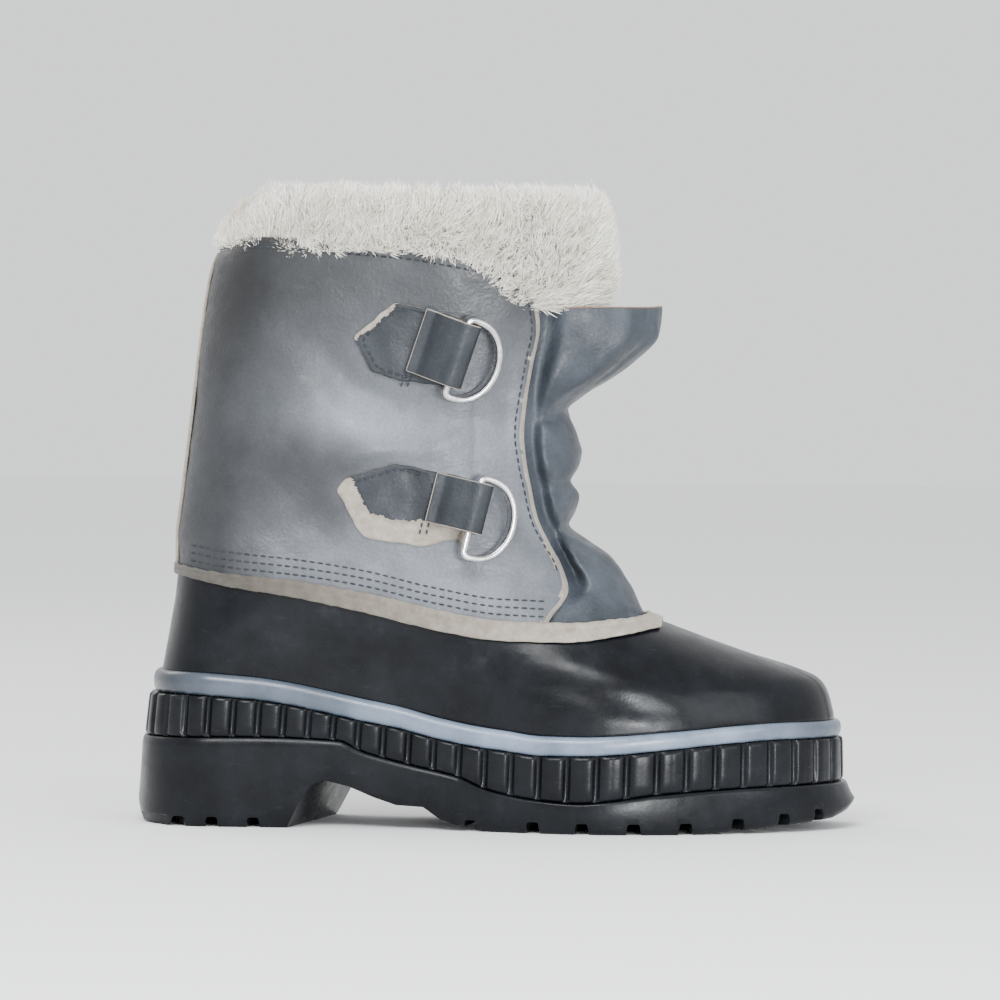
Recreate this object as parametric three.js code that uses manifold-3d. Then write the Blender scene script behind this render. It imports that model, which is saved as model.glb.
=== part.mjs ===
// Pac-style snow boot, right foot: lugged rubber sole, black rubber shell, grey
// leather shaft with an open throat, gusset tongue, pile cuff and four D-rings.
// Millimetres. X runs from the heel to the toe, +Y to the inner side of the foot,
// +Z up. The origin is on the floor, under the centre of the finished boot.
import * as THREE from 'three';
import Module from 'manifold-3d';
import { mergeVertices } from 'three/addons/utils/BufferGeometryUtils.js';

const wasm = await Module();
wasm.setup();

// ---- Driving sizes -------------------------------------------------------
const GAP = 0.35; // clearance between neighbouring pieces
const SHELL_WALL = 3.0; // rubber with its fleece
const SHAFT_WALL = 3.4; // leather with its short pile
const TRIM_THICK = 1.1; // beige strip over the rubber-leather joint
const TRIM_BAND = 8.0; // height of that strip at the sides
const BACK_STRIP_WIDE = 22.0;
const PATCH_THICK = 2.0; // folded leather patch
const LOOP_BORE = 4.7; // radius of the hole the ring's bar lies in
const LOOP_OUTER = 6.3; // radius of the leather fold round it
const RING_STRIP = 8.0; // width of the ring's flat strip
const RING_THICK = 2.4;
const RING_TALL = 34.6; // outside height of the D
const RING_REACH = 18.5; // how far the D reaches from its bar
const INSOLE_THICK = 4.0;
const TONGUE_THICK = 2.6;
const BAND_DROP = 9.0; // height of the smooth band at the heel
const BAND_DROP_TOE = 6.8; // and at the toe
const NOTCH_INWARD = 27; // how far a side lug channel runs in from the edge
const ORIGIN_X = 145.2; // heel-back to the middle of the boot's length
const ORIGIN_Y = 0.6;

// ---- Small helpers -------------------------------------------------------
// Value of a table column at u, smoothed with a monotone cubic.
function column(table, key, name, u) {
  const n = table.length;
  if (u <= table[0][key]) return table[0][name];
  if (u >= table[n - 1][key]) return table[n - 1][name];
  let k = 0;
  while (table[k + 1][key] < u) k += 1;
  const slope = (i) => (table[i + 1][name] - table[i][name]) / (table[i + 1][key] - table[i][key]);
  const tangent = (i) => {
    if (i === 0) return slope(0);
    if (i === n - 1) return slope(n - 2);
    const a = slope(i - 1);
    const b = slope(i);
    return a * b <= 0 ? 0 : (2 * a * b) / (a + b);
  };
  const h = table[k + 1][key] - table[k][key];
  const t = (u - table[k][key]) / h;
  const t2 = t * t;
  const t3 = t2 * t;
  return (2 * t3 - 3 * t2 + 1) * table[k][name]
    + (t3 - 2 * t2 + t) * h * tangent(k)
    + (3 * t2 - 2 * t3) * table[k + 1][name]
    + (t3 - t2) * h * tangent(k + 1);
}

const smooth = (t) => t * t * (3 - 2 * t);

// Straight-line reading of a profile of [x, z] pairs.
function lineAt(profile, x) {
  if (x <= profile[0][0]) return profile[0][1];
  for (let i = 1; i < profile.length; i += 1) {
    const [x0, z0] = profile[i - 1];
    const [x1, z1] = profile[i];
    if (x <= x1) return z0 + ((z1 - z0) * (x - x0)) / (x1 - x0);
  }
  return profile[profile.length - 1][1];
}

// A closed indexed geometry from points and triangles.
function meshOf(points, triangles) {
  const g = new THREE.BufferGeometry();
  g.setAttribute('position', new THREE.Float32BufferAttribute(points.flatMap((p) => [p.x, p.y, p.z]), 3));
  g.setIndex(triangles.flat());
  return g;
}

function solidOf(geometry) {
  let g = geometry.clone();
  g.deleteAttribute('normal');
  g.deleteAttribute('uv');
  g = mergeVertices(g, 1e-4);
  const solid = new wasm.Manifold(new wasm.Mesh({
    numProp: 3,
    vertProperties: new Float32Array(g.attributes.position.array),
    triVerts: new Uint32Array(g.index.array),
  }));
  return solid;
}

function geometryOf(solid) {
  const m = solid.getMesh();
  const g = new THREE.BufferGeometry();
  g.setAttribute('position', new THREE.BufferAttribute(new Float32Array(m.vertProperties), 3));
  g.setIndex(new THREE.BufferAttribute(new Uint32Array(m.triVerts), 1));
  g.computeVertexNormals();
  return g;
}

// Side-view outline of [x, z] corners, thickened from y0 to y1.
function sideCutter(outline, y0, y1) {
  const shape = new THREE.Shape(outline.map(([x, z]) => new THREE.Vector2(x, z)));
  const g = new THREE.ExtrudeGeometry(shape, { depth: y1 - y0, bevelEnabled: false, steps: 1 });
  g.rotateX(Math.PI / 2);
  g.translate(0, y1, 0);
  return solidOf(g);
}

// ---- The last: one stack of foot-shaped levels ---------------------------
// Each level is a plan outline: heel back, widest heel, waist, ball and front.
// bend is how much of the foot's sideways curve the level follows.
const LEVELS = [
  { z: 30, back: 5.5, front: 281.5, heelX: 38, heel: 38.5, waistX: 108, waist: 35.5, ballX: 192, ball: 50.5, bend: 1 },
  { z: 43, back: 7.3, front: 281.5, heelX: 38, heel: 38.8, waistX: 108, waist: 35.8, ballX: 192, ball: 50.6, bend: 1 },
  { z: 50, back: 8.2, front: 280.2, heelX: 38, heel: 39.2, waistX: 107, waist: 36.4, ballX: 191, ball: 50.0, bend: 1 },
  { z: 56, back: 9.0, front: 278.0, heelX: 39, heel: 39.5, waistX: 106, waist: 37.0, ballX: 189, ball: 48.9, bend: 1 },
  { z: 60, back: 9.6, front: 274.6, heelX: 39, heel: 39.8, waistX: 105, waist: 37.3, ballX: 186, ball: 47.7, bend: 1 },
  { z: 64, back: 10.4, front: 266.0, heelX: 40, heel: 40.1, waistX: 104, waist: 37.6, ballX: 182, ball: 46.2, bend: 0.98 },
  { z: 70, back: 11.4, front: 248.5, heelX: 42, heel: 40.6, waistX: 102, waist: 38.0, ballX: 174, ball: 43.8, bend: 0.93 },
  { z: 77, back: 12.6, front: 228.0, heelX: 45, heel: 41.2, waistX: 100, waist: 38.6, ballX: 162, ball: 41.5, bend: 0.84 },
  { z: 84, back: 13.7, front: 208.5, heelX: 50, heel: 41.7, waistX: 97, waist: 39.4, ballX: 148, ball: 40.3, bend: 0.7 },
  { z: 92, back: 14.9, front: 192.0, heelX: 56, heel: 42.1, waistX: 94, waist: 40.6, ballX: 136, ball: 40.5, bend: 0.5 },
  { z: 102, back: 15.6, front: 180.5, heelX: 62, heel: 42.3, waistX: 92, waist: 41.8, ballX: 124, ball: 41.2, bend: 0.2 },
  { z: 115, back: 15.6, front: 173.5, heelX: 68, heel: 42.4, waistX: 93, waist: 42.2, ballX: 116, ball: 41.6, bend: 0 },
  { z: 132, back: 17.4, front: 170.5, heelX: 72, heel: 42.6, waistX: 94, waist: 42.4, ballX: 112, ball: 42.0, bend: 0 },
  { z: 165, back: 21.1, front: 171.5, heelX: 76, heel: 43.2, waistX: 97, waist: 43.1, ballX: 114, ball: 42.6, bend: 0 },
  { z: 200, back: 25.0, front: 174.0, heelX: 80, heel: 45.2, waistX: 100, waist: 45.3, ballX: 118, ball: 44.8, bend: 0 },
  { z: 222, back: 28.5, front: 176.5, heelX: 82, heel: 47.6, waistX: 102, waist: 47.8, ballX: 120, ball: 47.2, bend: 0 },
  { z: 240, back: 37.0, front: 178.5, heelX: 84, heel: 48.6, waistX: 103, waist: 49.0, ballX: 121, ball: 48.2, bend: 0 },
];
const FIELDS = ['back', 'front', 'heelX', 'heel', 'waistX', 'waist', 'ballX', 'ball', 'bend'];

// Sideways curve of the foot's centre line, + towards the inner side.
const CENTRE = [
  { x: 0, y: -0.5 },
  { x: 40, y: 0 },
  { x: 110, y: -3.2 },
  { x: 185, y: -1.0 },
  { x: 240, y: 6.5 },
  { x: 290, y: 14.0 },
];

const BACK_ROUND = 2.35; // squareness of the heel end of a level
const FRONT_ROUND = 2.1; // squareness of the toe end

function levelAt(z) {
  const row = { z };
  FIELDS.forEach((name) => { row[name] = column(LEVELS, 'z', name, z); });
  return row;
}

// Half outline of a level from heel back to front: [x, half width] pairs.
function halfOutline(row, counts) {
  const pts = [];
  const backLong = row.heelX - row.back;
  for (let i = 0; i < counts.back; i += 1) {
    const a = (i / counts.back) * (Math.PI / 2);
    const x = row.heelX - backLong * Math.cos(a) ** (2 / BACK_ROUND);
    pts.push([x, row.heel * Math.sin(a) ** (2 / BACK_ROUND)]);
  }
  for (let i = 0; i < counts.waist; i += 1) {
    const t = i / counts.waist;
    pts.push([row.heelX + t * (row.waistX - row.heelX), row.heel + smooth(t) * (row.waist - row.heel)]);
  }
  for (let i = 0; i < counts.ball; i += 1) {
    const t = i / counts.ball;
    pts.push([row.waistX + t * (row.ballX - row.waistX), row.waist + smooth(t) * (row.ball - row.waist)]);
  }
  const frontLong = row.front - row.ballX;
  for (let i = 0; i <= counts.front; i += 1) {
    const a = (i / counts.front) * (Math.PI / 2);
    const x = row.ballX + frontLong * Math.sin(a) ** (2 / FRONT_ROUND);
    const y = i === counts.front ? 0 : row.ball * Math.cos(a) ** (2 / FRONT_ROUND);
    pts.push([x, y]);
  }
  return pts;
}

// Closed ring of points: heel back, along the outer side to the front, back
// along the inner side.
function ringOf(row, counts, z) {
  const half = halfOutline(row, counts);
  const bend = (x) => row.bend * column(CENTRE, 'x', 'y', x);
  const outer = half.map(([x, y]) => new THREE.Vector3(x, bend(x) - y, z));
  const inner = half.slice(1, -1).reverse().map(([x, y]) => new THREE.Vector3(x, bend(x) + y, z));
  return outer.concat(inner);
}

// Grid of the last's surface and its outward normals at the given heights.
function lastGrid(heights, counts) {
  const rings = heights.map((z) => ringOf(levelAt(z), counts, z));
  const n = rings[0].length;
  const normals = rings.map((ring, k) => ring.map((p, i) => {
    const around = new THREE.Vector3().subVectors(ring[(i + 1) % n], ring[(i + n - 1) % n]);
    const lo = rings[Math.max(0, k - 1)][i];
    const hi = rings[Math.min(rings.length - 1, k + 1)][i];
    const up = new THREE.Vector3().subVectors(hi, lo);
    return new THREE.Vector3().crossVectors(around, up).normalize();
  }));
  return { rings, normals };
}

const COUNTS = { back: 6, waist: 3, ball: 3, front: 8 };
const HEIGHTS = [34, 43, 50, 56, 60.5, 64.5, 70, 76, 82, 88, 95, 104, 118, 140, 165, 188, 206, 221, 232, 240];
const LAST = lastGrid(HEIGHTS, COUNTS);

// Tube between two offsets from the last, over the rows that span two heights.
function lastWall(outside, inside, zLow, zHigh) {
  const rowFrom = Math.max(0, HEIGHTS.findIndex((z) => z > zLow) - 1);
  const found = HEIGHTS.findIndex((z) => z >= zHigh);
  const rowTo = found < 0 ? HEIGHTS.length - 1 : found;
  const points = [];
  const n = LAST.rings[0].length;
  const rows = rowTo - rowFrom + 1;
  [outside, inside].forEach((d) => {
    for (let k = rowFrom; k <= rowTo; k += 1) {
      LAST.rings[k].forEach((p, i) => points.push(p.clone().addScaledVector(LAST.normals[k][i], d)));
    }
  });
  const at = (side, k, i) => side * rows * n + k * n + (i % n);
  const triangles = [];
  for (let k = 0; k < rows - 1; k += 1) {
    for (let i = 0; i < n; i += 1) {
      triangles.push([at(0, k, i), at(0, k, i + 1), at(0, k + 1, i + 1)]);
      triangles.push([at(0, k, i), at(0, k + 1, i + 1), at(0, k + 1, i)]);
      triangles.push([at(1, k, i), at(1, k + 1, i + 1), at(1, k, i + 1)]);
      triangles.push([at(1, k, i), at(1, k + 1, i), at(1, k + 1, i + 1)]);
    }
  }
  for (let i = 0; i < n; i += 1) {
    triangles.push([at(0, 0, i), at(1, 0, i), at(1, 0, i + 1)]);
    triangles.push([at(0, 0, i), at(1, 0, i + 1), at(0, 0, i + 1)]);
    triangles.push([at(0, rows - 1, i), at(0, rows - 1, i + 1), at(1, rows - 1, i + 1)]);
    triangles.push([at(0, rows - 1, i), at(1, rows - 1, i + 1), at(1, rows - 1, i)]);
  }
  return solidOf(meshOf(points, triangles));
}

// Where the outer surface of the last is at a side-view point.
function surfaceAt(x, z, side) {
  const row = levelAt(z);
  let half;
  if (x < row.heelX) {
    half = row.heel * (1 - ((row.heelX - x) / (row.heelX - row.back)) ** BACK_ROUND) ** (1 / BACK_ROUND);
  } else if (x < row.waistX) {
    half = row.heel + smooth((x - row.heelX) / (row.waistX - row.heelX)) * (row.waist - row.heel);
  } else if (x < row.ballX) {
    half = row.waist + smooth((x - row.waistX) / (row.ballX - row.waistX)) * (row.ball - row.waist);
  } else {
    half = row.ball * (1 - ((x - row.ballX) / (row.front - row.ballX)) ** FRONT_ROUND) ** (1 / FRONT_ROUND);
  }
  return new THREE.Vector3(x, row.bend * column(CENTRE, 'x', 'y', x) + side * half, z);
}

// ---- Side-view lines of the upper ----------------------------------------
const BAND_TOP = [
  { x: 0, z: 61 }, { x: 20, z: 61.6 }, { x: 49, z: 60 }, { x: 64, z: 58 }, { x: 79, z: 55 },
  { x: 93, z: 52 }, { x: 108, z: 49 }, { x: 123, z: 45 }, { x: 138, z: 42 }, { x: 150, z: 40.4 },
  { x: 165, z: 38.6 }, { x: 180, z: 38.5 }, { x: 195, z: 39 }, { x: 210, z: 40.2 }, { x: 226, z: 41.5 },
  { x: 241, z: 42.8 }, { x: 261, z: 43.8 }, { x: 290, z: 43.3 },
];
const FLUTE_LOW = [
  { x: 0, z: 35 }, { x: 54, z: 36 }, { x: 84, z: 35 }, { x: 93, z: 31 }, { x: 112, z: 26 },
  { x: 132, z: 21.5 }, { x: 143, z: 17 }, { x: 160, z: 13.7 }, { x: 180, z: 12.3 }, { x: 190, z: 13 },
  { x: 210, z: 15.7 }, { x: 230, z: 17.3 }, { x: 251, z: 18.3 }, { x: 290, z: 19 },
];
const SHELL_TOP = [
  { x: 0, z: 101 }, { x: 16, z: 100 }, { x: 40, z: 96 }, { x: 67, z: 92 }, { x: 94.5, z: 86.7 },
  { x: 121.5, z: 80 }, { x: 148, z: 76 }, { x: 175, z: 75.6 }, { x: 196, z: 78 }, { x: 209, z: 80.5 },
];
const THROAT_X = 210; // where the shell's top edge crosses the vamp
const bandTop = (x) => column(BAND_TOP, 'x', 'z', x);
const bandDrop = (x) => BAND_DROP + (BAND_DROP_TOE - BAND_DROP) * Math.min(1, Math.max(0, (x - 90) / 140));
const bandLow = (x) => bandTop(x) - bandDrop(x);
const fluteLow = (x) => column(FLUTE_LOW, 'x', 'z', x);
const shellTop = (x) => column(SHELL_TOP, 'x', 'z', x);
// The strip is narrow at the back and front and full height at the sides.
const trimTall = (x) => TRIM_BAND * (0.45 + 0.55 * Math.sin(Math.PI * Math.min(1, Math.max(0, (x - 10) / 230))) ** 1.3);

const TRIM_X = [-10, 16, 30, 45, 60, 78, 95, 110, 125, 140, 155, 170, 185, 197, THROAT_X];

// Corners along a line raised by a part of the strip's height.
const trimLine = (share, extra) => TRIM_X.map((x) => [x, shellTop(x) + share * trimTall(x) + extra]);

// ---- Shell, strip and shaft ----------------------------------------------
const BAND_X = [-10, 20, 49, 64, 79, 93, 108, 123, 138, 150, 165, 180, 195, 210, 226, 241, 261, 300];
const shellFoot = BAND_X.map((x) => [x, bandTop(x) + GAP]);
const shellRegion = shellFoot.concat([[300, 110], [THROAT_X + 2, 110], [THROAT_X + 1, 92]])
  .concat(trimLine(0.5, -GAP / 2).reverse());
const shell = lastWall(0, -SHELL_WALL, 34, 104).intersect(sideCutter(shellRegion, -90, 90));

const QUARTER_FRONT = [
  [168, 86], [172.5, 91], [175.5, 97], [172.7, 105], [167.4, 114.5], [162.5, 125], [160, 136],
  [158, 146], [156.8, 157.5], [157.8, 171], [160, 184.7], [163.0, 200.6], [162, 210], [159, 215.5],
  [152.5, 221], [142, 225],
];
const LEATHER_TOP = [[128, 228], [108, 231], [81, 233], [54, 235], [36.5, 234.6], [-10, 233]];
const shaftLow = trimLine(0.5, GAP / 2).filter(([x]) => x < 166);
const shaftRegion = shaftLow.concat([[166, shellTop(166) + 0.5 * trimTall(166) + GAP / 2]])
  .concat(QUARTER_FRONT, LEATHER_TOP);
const shaft = lastWall(0, -SHAFT_WALL, 77, 240).intersect(sideCutter(shaftRegion, -90, 90));

const trimRegion = trimLine(0, 0)
  .concat([[THROAT_X + 0.8, 99], [THROAT_X - 5, 99], [THROAT_X - 5, shellTop(THROAT_X - 5) + trimTall(THROAT_X - 5)]])
  .concat(trimLine(1, 0).filter(([x]) => x < THROAT_X - 6).reverse());
const trim = lastWall(GAP + TRIM_THICK, GAP, 73, 104).intersect(sideCutter(trimRegion, -90, 90));

const backStrip = lastWall(GAP + TRIM_THICK, GAP, 104, 232).intersect(
  sideCutter([[-10, 104.6], [60, 104.6], [60, 228], [-10, 228]], -BACK_STRIP_WIDE / 2, BACK_STRIP_WIDE / 2),
);

// ---- Sole layers ---------------------------------------------------------
// Plan outlines of the sole at three heights, wider than the upper.
const SOLE_TREAD = { back: 0.6, front: 290.4, heelX: 36, heel: 40.6, waistX: 106, waist: 36.5, ballX: 192, ball: 53.4, bend: 1 };
const SOLE_SIDE = { back: 3.6, front: 285.0, heelX: 36, heel: 41.4, waistX: 107, waist: 38.0, ballX: 192, ball: 53.0, bend: 1 };
const SOLE_BAND = { back: 6.6, front: 284.2, heelX: 37, heel: 42.2, waistX: 107, waist: 39.0, ballX: 192, ball: 53.6, bend: 1 };

// A layer between two z functions; each skin row is { rise, out } from bottom to top.
function layer(ringAt, low, high, skins) {
  const points = [];
  const rings = skins.map((skin) => ringAt(skin));
  const n = rings[0].length;
  rings.forEach((ring, k) => ring.forEach((p) => {
    const z0 = low(p.x, p.y);
    points.push(new THREE.Vector3(p.x, p.y, z0 + (high(p.x, p.y) - z0) * skins[k].rise));
  }));
  const triangles = [];
  for (let k = 0; k < rings.length - 1; k += 1) {
    for (let i = 0; i < n; i += 1) {
      const j = (i + 1) % n;
      triangles.push([k * n + i, k * n + j, (k + 1) * n + j]);
      triangles.push([k * n + i, (k + 1) * n + j, (k + 1) * n + i]);
    }
  }
  // Caps: strips that join the outer side to the inner side across the boot.
  const cap = (k, up) => {
    const base = k * n;
    const push = (a, b, c) => triangles.push(up ? [a, b, c] : [a, c, b]);
    for (let i = 0; i < n / 2; i += 1) {
      const a = base + i;
      const b = base + i + 1;
      const c = base + ((n - i - 1) % n);
      const d = base + ((n - i) % n);
      if (i === 0) push(a, b, c);
      else if (i === n / 2 - 1) push(a, b, d);
      else {
        push(a, b, c);
        push(a, c, d);
      }
    }
  };
  cap(0, false);
  cap(rings.length - 1, true);
  return solidOf(meshOf(points, triangles));
}

// Row of plan sizes moved outwards by d.
const grown = (row, d) => ({
  ...row, back: row.back - d, front: row.front + d, heel: row.heel + d, waist: row.waist + d, ball: row.ball + d,
});
const mixed = (a, b, t) => Object.fromEntries(Object.keys(a).map((key) => [key, a[key] + (b[key] - a[key]) * t]));

const BAND_COUNTS = { back: 8, waist: 5, ball: 6, front: 11 };
const BEAD = [
  { rise: 0, out: -1.4 }, { rise: 0.2, out: -0.2 }, { rise: 0.5, out: 0.1 },
  { rise: 0.85, out: -0.5 }, { rise: 1, out: -2.0 },
];
const band = layer(
  (skin) => ringOf(grown(SOLE_BAND, skin.out), BAND_COUNTS, 0),
  (x) => bandLow(x) + GAP / 2,
  (x) => bandTop(x),
  BEAD,
);

// Fluted sidewall: upright ribs with narrow grooves, wider spaced in front.
const FLUTE_HEEL = 9.8;
const FLUTE_TOE = 12.0;
const FLUTE_DEEP = 1.5;
function flutedRing(row) {
  const fine = ringOf(row, { back: 24, waist: 24, ball: 30, front: 40 }, 0);
  const lengths = [0];
  for (let i = 1; i <= fine.length; i += 1) {
    lengths.push(lengths[i - 1] + fine[i % fine.length].distanceTo(fine[i - 1]));
  }
  const half = lengths[fine.length / 2];
  const at = (s) => {
    let k = 0;
    while (lengths[k + 1] < s && k < fine.length - 1) k += 1;
    const t = Math.min(1, (s - lengths[k]) / (lengths[k + 1] - lengths[k]));
    return fine[k].clone().lerp(fine[(k + 1) % fine.length], t);
  };
  const marks = [];
  let s = FLUTE_HEEL / 2;
  while (s < half - FLUTE_TOE * 0.3) {
    const pitch = FLUTE_HEEL + (FLUTE_TOE - FLUTE_HEEL) * smooth(Math.min(1, Math.max(0, (s / half - 0.35) / 0.3)));
    marks.push([s, pitch]);
    s += pitch;
  }
  const stretch = (half - FLUTE_HEEL / 2) / (marks[marks.length - 1][0] + FLUTE_TOE / 2 - FLUTE_HEEL / 2);
  const side = [at(0)];
  marks.forEach(([mark]) => {
    const m = FLUTE_HEEL / 2 + (mark - FLUTE_HEEL / 2) * stretch;
    [[-1.5, 0], [-0.6, 1], [0.6, 1], [1.5, 0]].forEach(([shift, deep]) => {
      const here = at(m + shift);
      const ahead = at(m + shift + 0.5).sub(at(m + shift - 0.5)).normalize();
      side.push(here.add(new THREE.Vector3(-ahead.y, ahead.x, 0).multiplyScalar(deep * FLUTE_DEEP)));
    });
  });
  const bend = (x) => row.bend * column(CENTRE, 'x', 'y', x);
  const mirror = side.slice(1).reverse().map((p) => new THREE.Vector3(p.x, 2 * bend(p.x) - p.y, 0));
  return side.concat([at(half)], mirror);
}
const midsole = layer(
  (skin) => flutedRing(mixed(SOLE_SIDE, SOLE_BAND, skin.rise * 0.6)),
  (x) => fluteLow(x) + GAP,
  (x) => bandLow(x) - GAP / 2,
  [{ rise: 0 }, { rise: 1 }],
);

// Tread layer: underside with heel, slanted breast, arch and toe spring.
const UNDER = [
  [-5, 9], [0.8, 5.6], [4.5, 0.8], [8, 0], [222, 0], [236, 0.8], [250, 2], [271, 3.8],
  [281, 5], [287, 7.6], [292, 12],
];
const ARCH = [
  [64, -8], [64, 0], [70.5, 12.5], [74, 17.5], [79, 19.5], [89, 17], [99, 12.8], [108, 9.8],
  [119, 9.2], [126, 4.4], [137, 1.4], [149, 0], [149, -8],
];
const BREAST_SLANT = 0.2; // how far forward the heel's front face runs per mm of y
const underside = (x) => lineAt(UNDER, x);
const TREAD_COUNTS = { back: 11, waist: 8, ball: 8, front: 16 };
const TREAD_SKINS = [
  { rise: 0, out: -1.4, turn: 0 }, { rise: 0.12, out: 0, turn: 0.05 }, { rise: 1, out: 0.9, turn: 0.85 },
];
const treadBody = layer(
  (skin) => ringOf(grown(mixed(SOLE_TREAD, SOLE_SIDE, skin.turn), skin.out), TREAD_COUNTS, 0),
  underside,
  (x) => fluteLow(x) - GAP / 2,
  TREAD_SKINS,
);

function archCutter() {
  const shape = new THREE.Shape(ARCH.map(([x, z]) => new THREE.Vector2(x, z)));
  const g = new THREE.ExtrudeGeometry(shape, { depth: 160, bevelEnabled: false, steps: 1 });
  g.rotateX(Math.PI / 2);
  g.translate(0, 80, 0);
  const slant = new THREE.Matrix4().set(1, BREAST_SLANT, 0, BREAST_SLANT * 36, 0, 1, 0, 0, 0, 0, 1, 0, 0, 0, 0, 1);
  g.applyMatrix4(slant);
  return solidOf(g);
}

// Channels between the lugs: { x, wide, deep, turn } at each side edge.
const SIDE_CHANNELS = [
  { x: 7, wide: 5, deep: 4.2, turn: 34 }, { x: 20, wide: 4.6, deep: 4, turn: 16 },
  { x: 33.5, wide: 4.6, deep: 4, turn: 4 }, { x: 50, wide: 4.8, deep: 4, turn: -6 },
  { x: 137, wide: 4.6, deep: 4.6, turn: -8 }, { x: 162, wide: 5, deep: 4.6, turn: -8 },
  { x: 181.5, wide: 5, deep: 4.4, turn: -4 }, { x: 202, wide: 5.2, deep: 4.4, turn: 0 },
  { x: 222.5, wide: 5.2, deep: 4.6, turn: 8 }, { x: 243, wide: 5.2, deep: 4.8, turn: 20 },
  { x: 261, wide: 5, deep: 4.8, turn: 36 }, { x: 275, wide: 4.6, deep: 4.8, turn: 56 },
];
const CENTRE_CHANNELS = [
  { x: 153, wide: 4, long: 42 }, { x: 172, wide: 4, long: 46 }, { x: 192, wide: 4, long: 48 },
  { x: 212, wide: 4, long: 46 }, { x: 232, wide: 4, long: 42 }, { x: 252, wide: 4, long: 34 },
];

function channel(x, y, wide, long, deep, turn) {
  const g = new THREE.BoxGeometry(wide, long, deep + 20);
  g.rotateZ(THREE.MathUtils.degToRad(turn));
  g.translate(x, y, underside(x) + deep - (deep + 20) / 2);
  return solidOf(g);
}
function soleHalf(row, x) {
  if (x < row.heelX) {
    return row.heel * (1 - Math.min(1, (row.heelX - x) / (row.heelX - row.back)) ** BACK_ROUND) ** (1 / BACK_ROUND);
  }
  if (x > row.ballX) {
    return row.ball * (1 - Math.min(1, (x - row.ballX) / (row.front - row.ballX)) ** FRONT_ROUND) ** (1 / FRONT_ROUND);
  }
  if (x < row.waistX) return row.heel + smooth((x - row.heelX) / (row.waistX - row.heelX)) * (row.waist - row.heel);
  return row.waist + smooth((x - row.waistX) / (row.ballX - row.waistX)) * (row.ball - row.waist);
}
let outsole = treadBody.subtract(archCutter());
SIDE_CHANNELS.forEach(({ x, wide, deep, turn }) => {
  const mid = column(CENTRE, 'x', 'y', x);
  const half = soleHalf(SOLE_TREAD, x);
  [-1, 1].forEach((side) => {
    const inward = Math.min(NOTCH_INWARD, half * 0.62);
    const reach = inward + 14;
    const y = mid + side * (half - inward + reach / 2);
    const lean = THREE.MathUtils.degToRad(turn);
    const xMid = x + Math.sin(lean) * (reach / 2 - inward) * 0.9;
    outsole = outsole.subtract(channel(xMid, y, wide, reach, deep, -side * turn));
  });
});
CENTRE_CHANNELS.forEach(({ x, wide, long }) => {
  outsole = outsole.subtract(channel(x, column(CENTRE, 'x', 'y', x), wide, long, 3.6, 0));
});

// ---- Insole: follows the band's floor inside the shell -------------------
const INSOLE = grown(mixed(levelAt(50), levelAt(60), 0.3), -(SHELL_WALL + 2.4));
const insole = layer(
  () => ringOf(INSOLE, { back: 7, waist: 4, ball: 5, front: 9 }, 0),
  (x) => bandTop(x) + GAP,
  (x) => bandTop(x) + GAP + INSOLE_THICK,
  [{ rise: 0 }, { rise: 1 }],
);

// ---- Tongue: a gusseted sheet bent round the front of the throat ---------
// Each level: front of the fold, half width, where it is widest, rear edge.
const TONGUE = [
  { z: 77, front: 210.0, half: 35.5, mid: 158, rear: 152 },
  { z: 82, front: 206.0, half: 35.5, mid: 152, rear: 146 },
  { z: 87, front: 203.6, half: 34.4, mid: 148, rear: 140 },
  { z: 101, front: 195.8, half: 35.0, mid: 138, rear: 130 },
  { z: 108, front: 191.0, half: 35.4, mid: 134, rear: 128 },
  { z: 115, front: 181.0, half: 35.8, mid: 131, rear: 126 },
  { z: 121, front: 174.0, half: 36.0, mid: 129, rear: 126 },
  { z: 127, front: 176.0, half: 36.2, mid: 129, rear: 126 },
  { z: 133, front: 177.4, half: 36.4, mid: 129, rear: 126 },
  { z: 139, front: 174.6, half: 36.5, mid: 129, rear: 126 },
  { z: 145, front: 177.2, half: 36.6, mid: 130, rear: 127 },
  { z: 151, front: 178.0, half: 36.8, mid: 130, rear: 127 },
  { z: 159, front: 175.4, half: 37.0, mid: 131, rear: 128 },
  { z: 167, front: 173.2, half: 37.0, mid: 132, rear: 130 },
  { z: 173, front: 178.5, half: 37.0, mid: 134, rear: 132 },
  { z: 180, front: 189.5, half: 35.5, mid: 137, rear: 136 },
  { z: 187, front: 198.5, half: 33.5, mid: 141, rear: 140 },
  { z: 199, front: 209.5, half: 30.0, mid: 150, rear: 149 },
  { z: 211, front: 210.0, half: 28.4, mid: 157, rear: 156 },
];
const TONGUE_ROUND = 2.15;
const TONGUE_STEPS = 12;
function tongueCurve(row, inset) {
  const pts = [];
  for (let i = 0; i <= TONGUE_STEPS; i += 1) {
    const a = -Math.PI / 2 + (i / TONGUE_STEPS) * Math.PI;
    const c = Math.max(0, Math.cos(a)) ** (2 / TONGUE_ROUND);
    const s = Math.sign(a) * Math.abs(Math.sin(a)) ** (2 / TONGUE_ROUND);
    const x = i === 0 || i === TONGUE_STEPS ? row.rear : row.mid + (row.front - inset - row.mid) * c;
    const bend = column(LEVELS, 'z', 'bend', row.z) * column(CENTRE, 'x', 'y', x);
    pts.push(new THREE.Vector3(x, bend + (row.half - inset) * s, row.z));
  }
  return pts;
}
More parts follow.
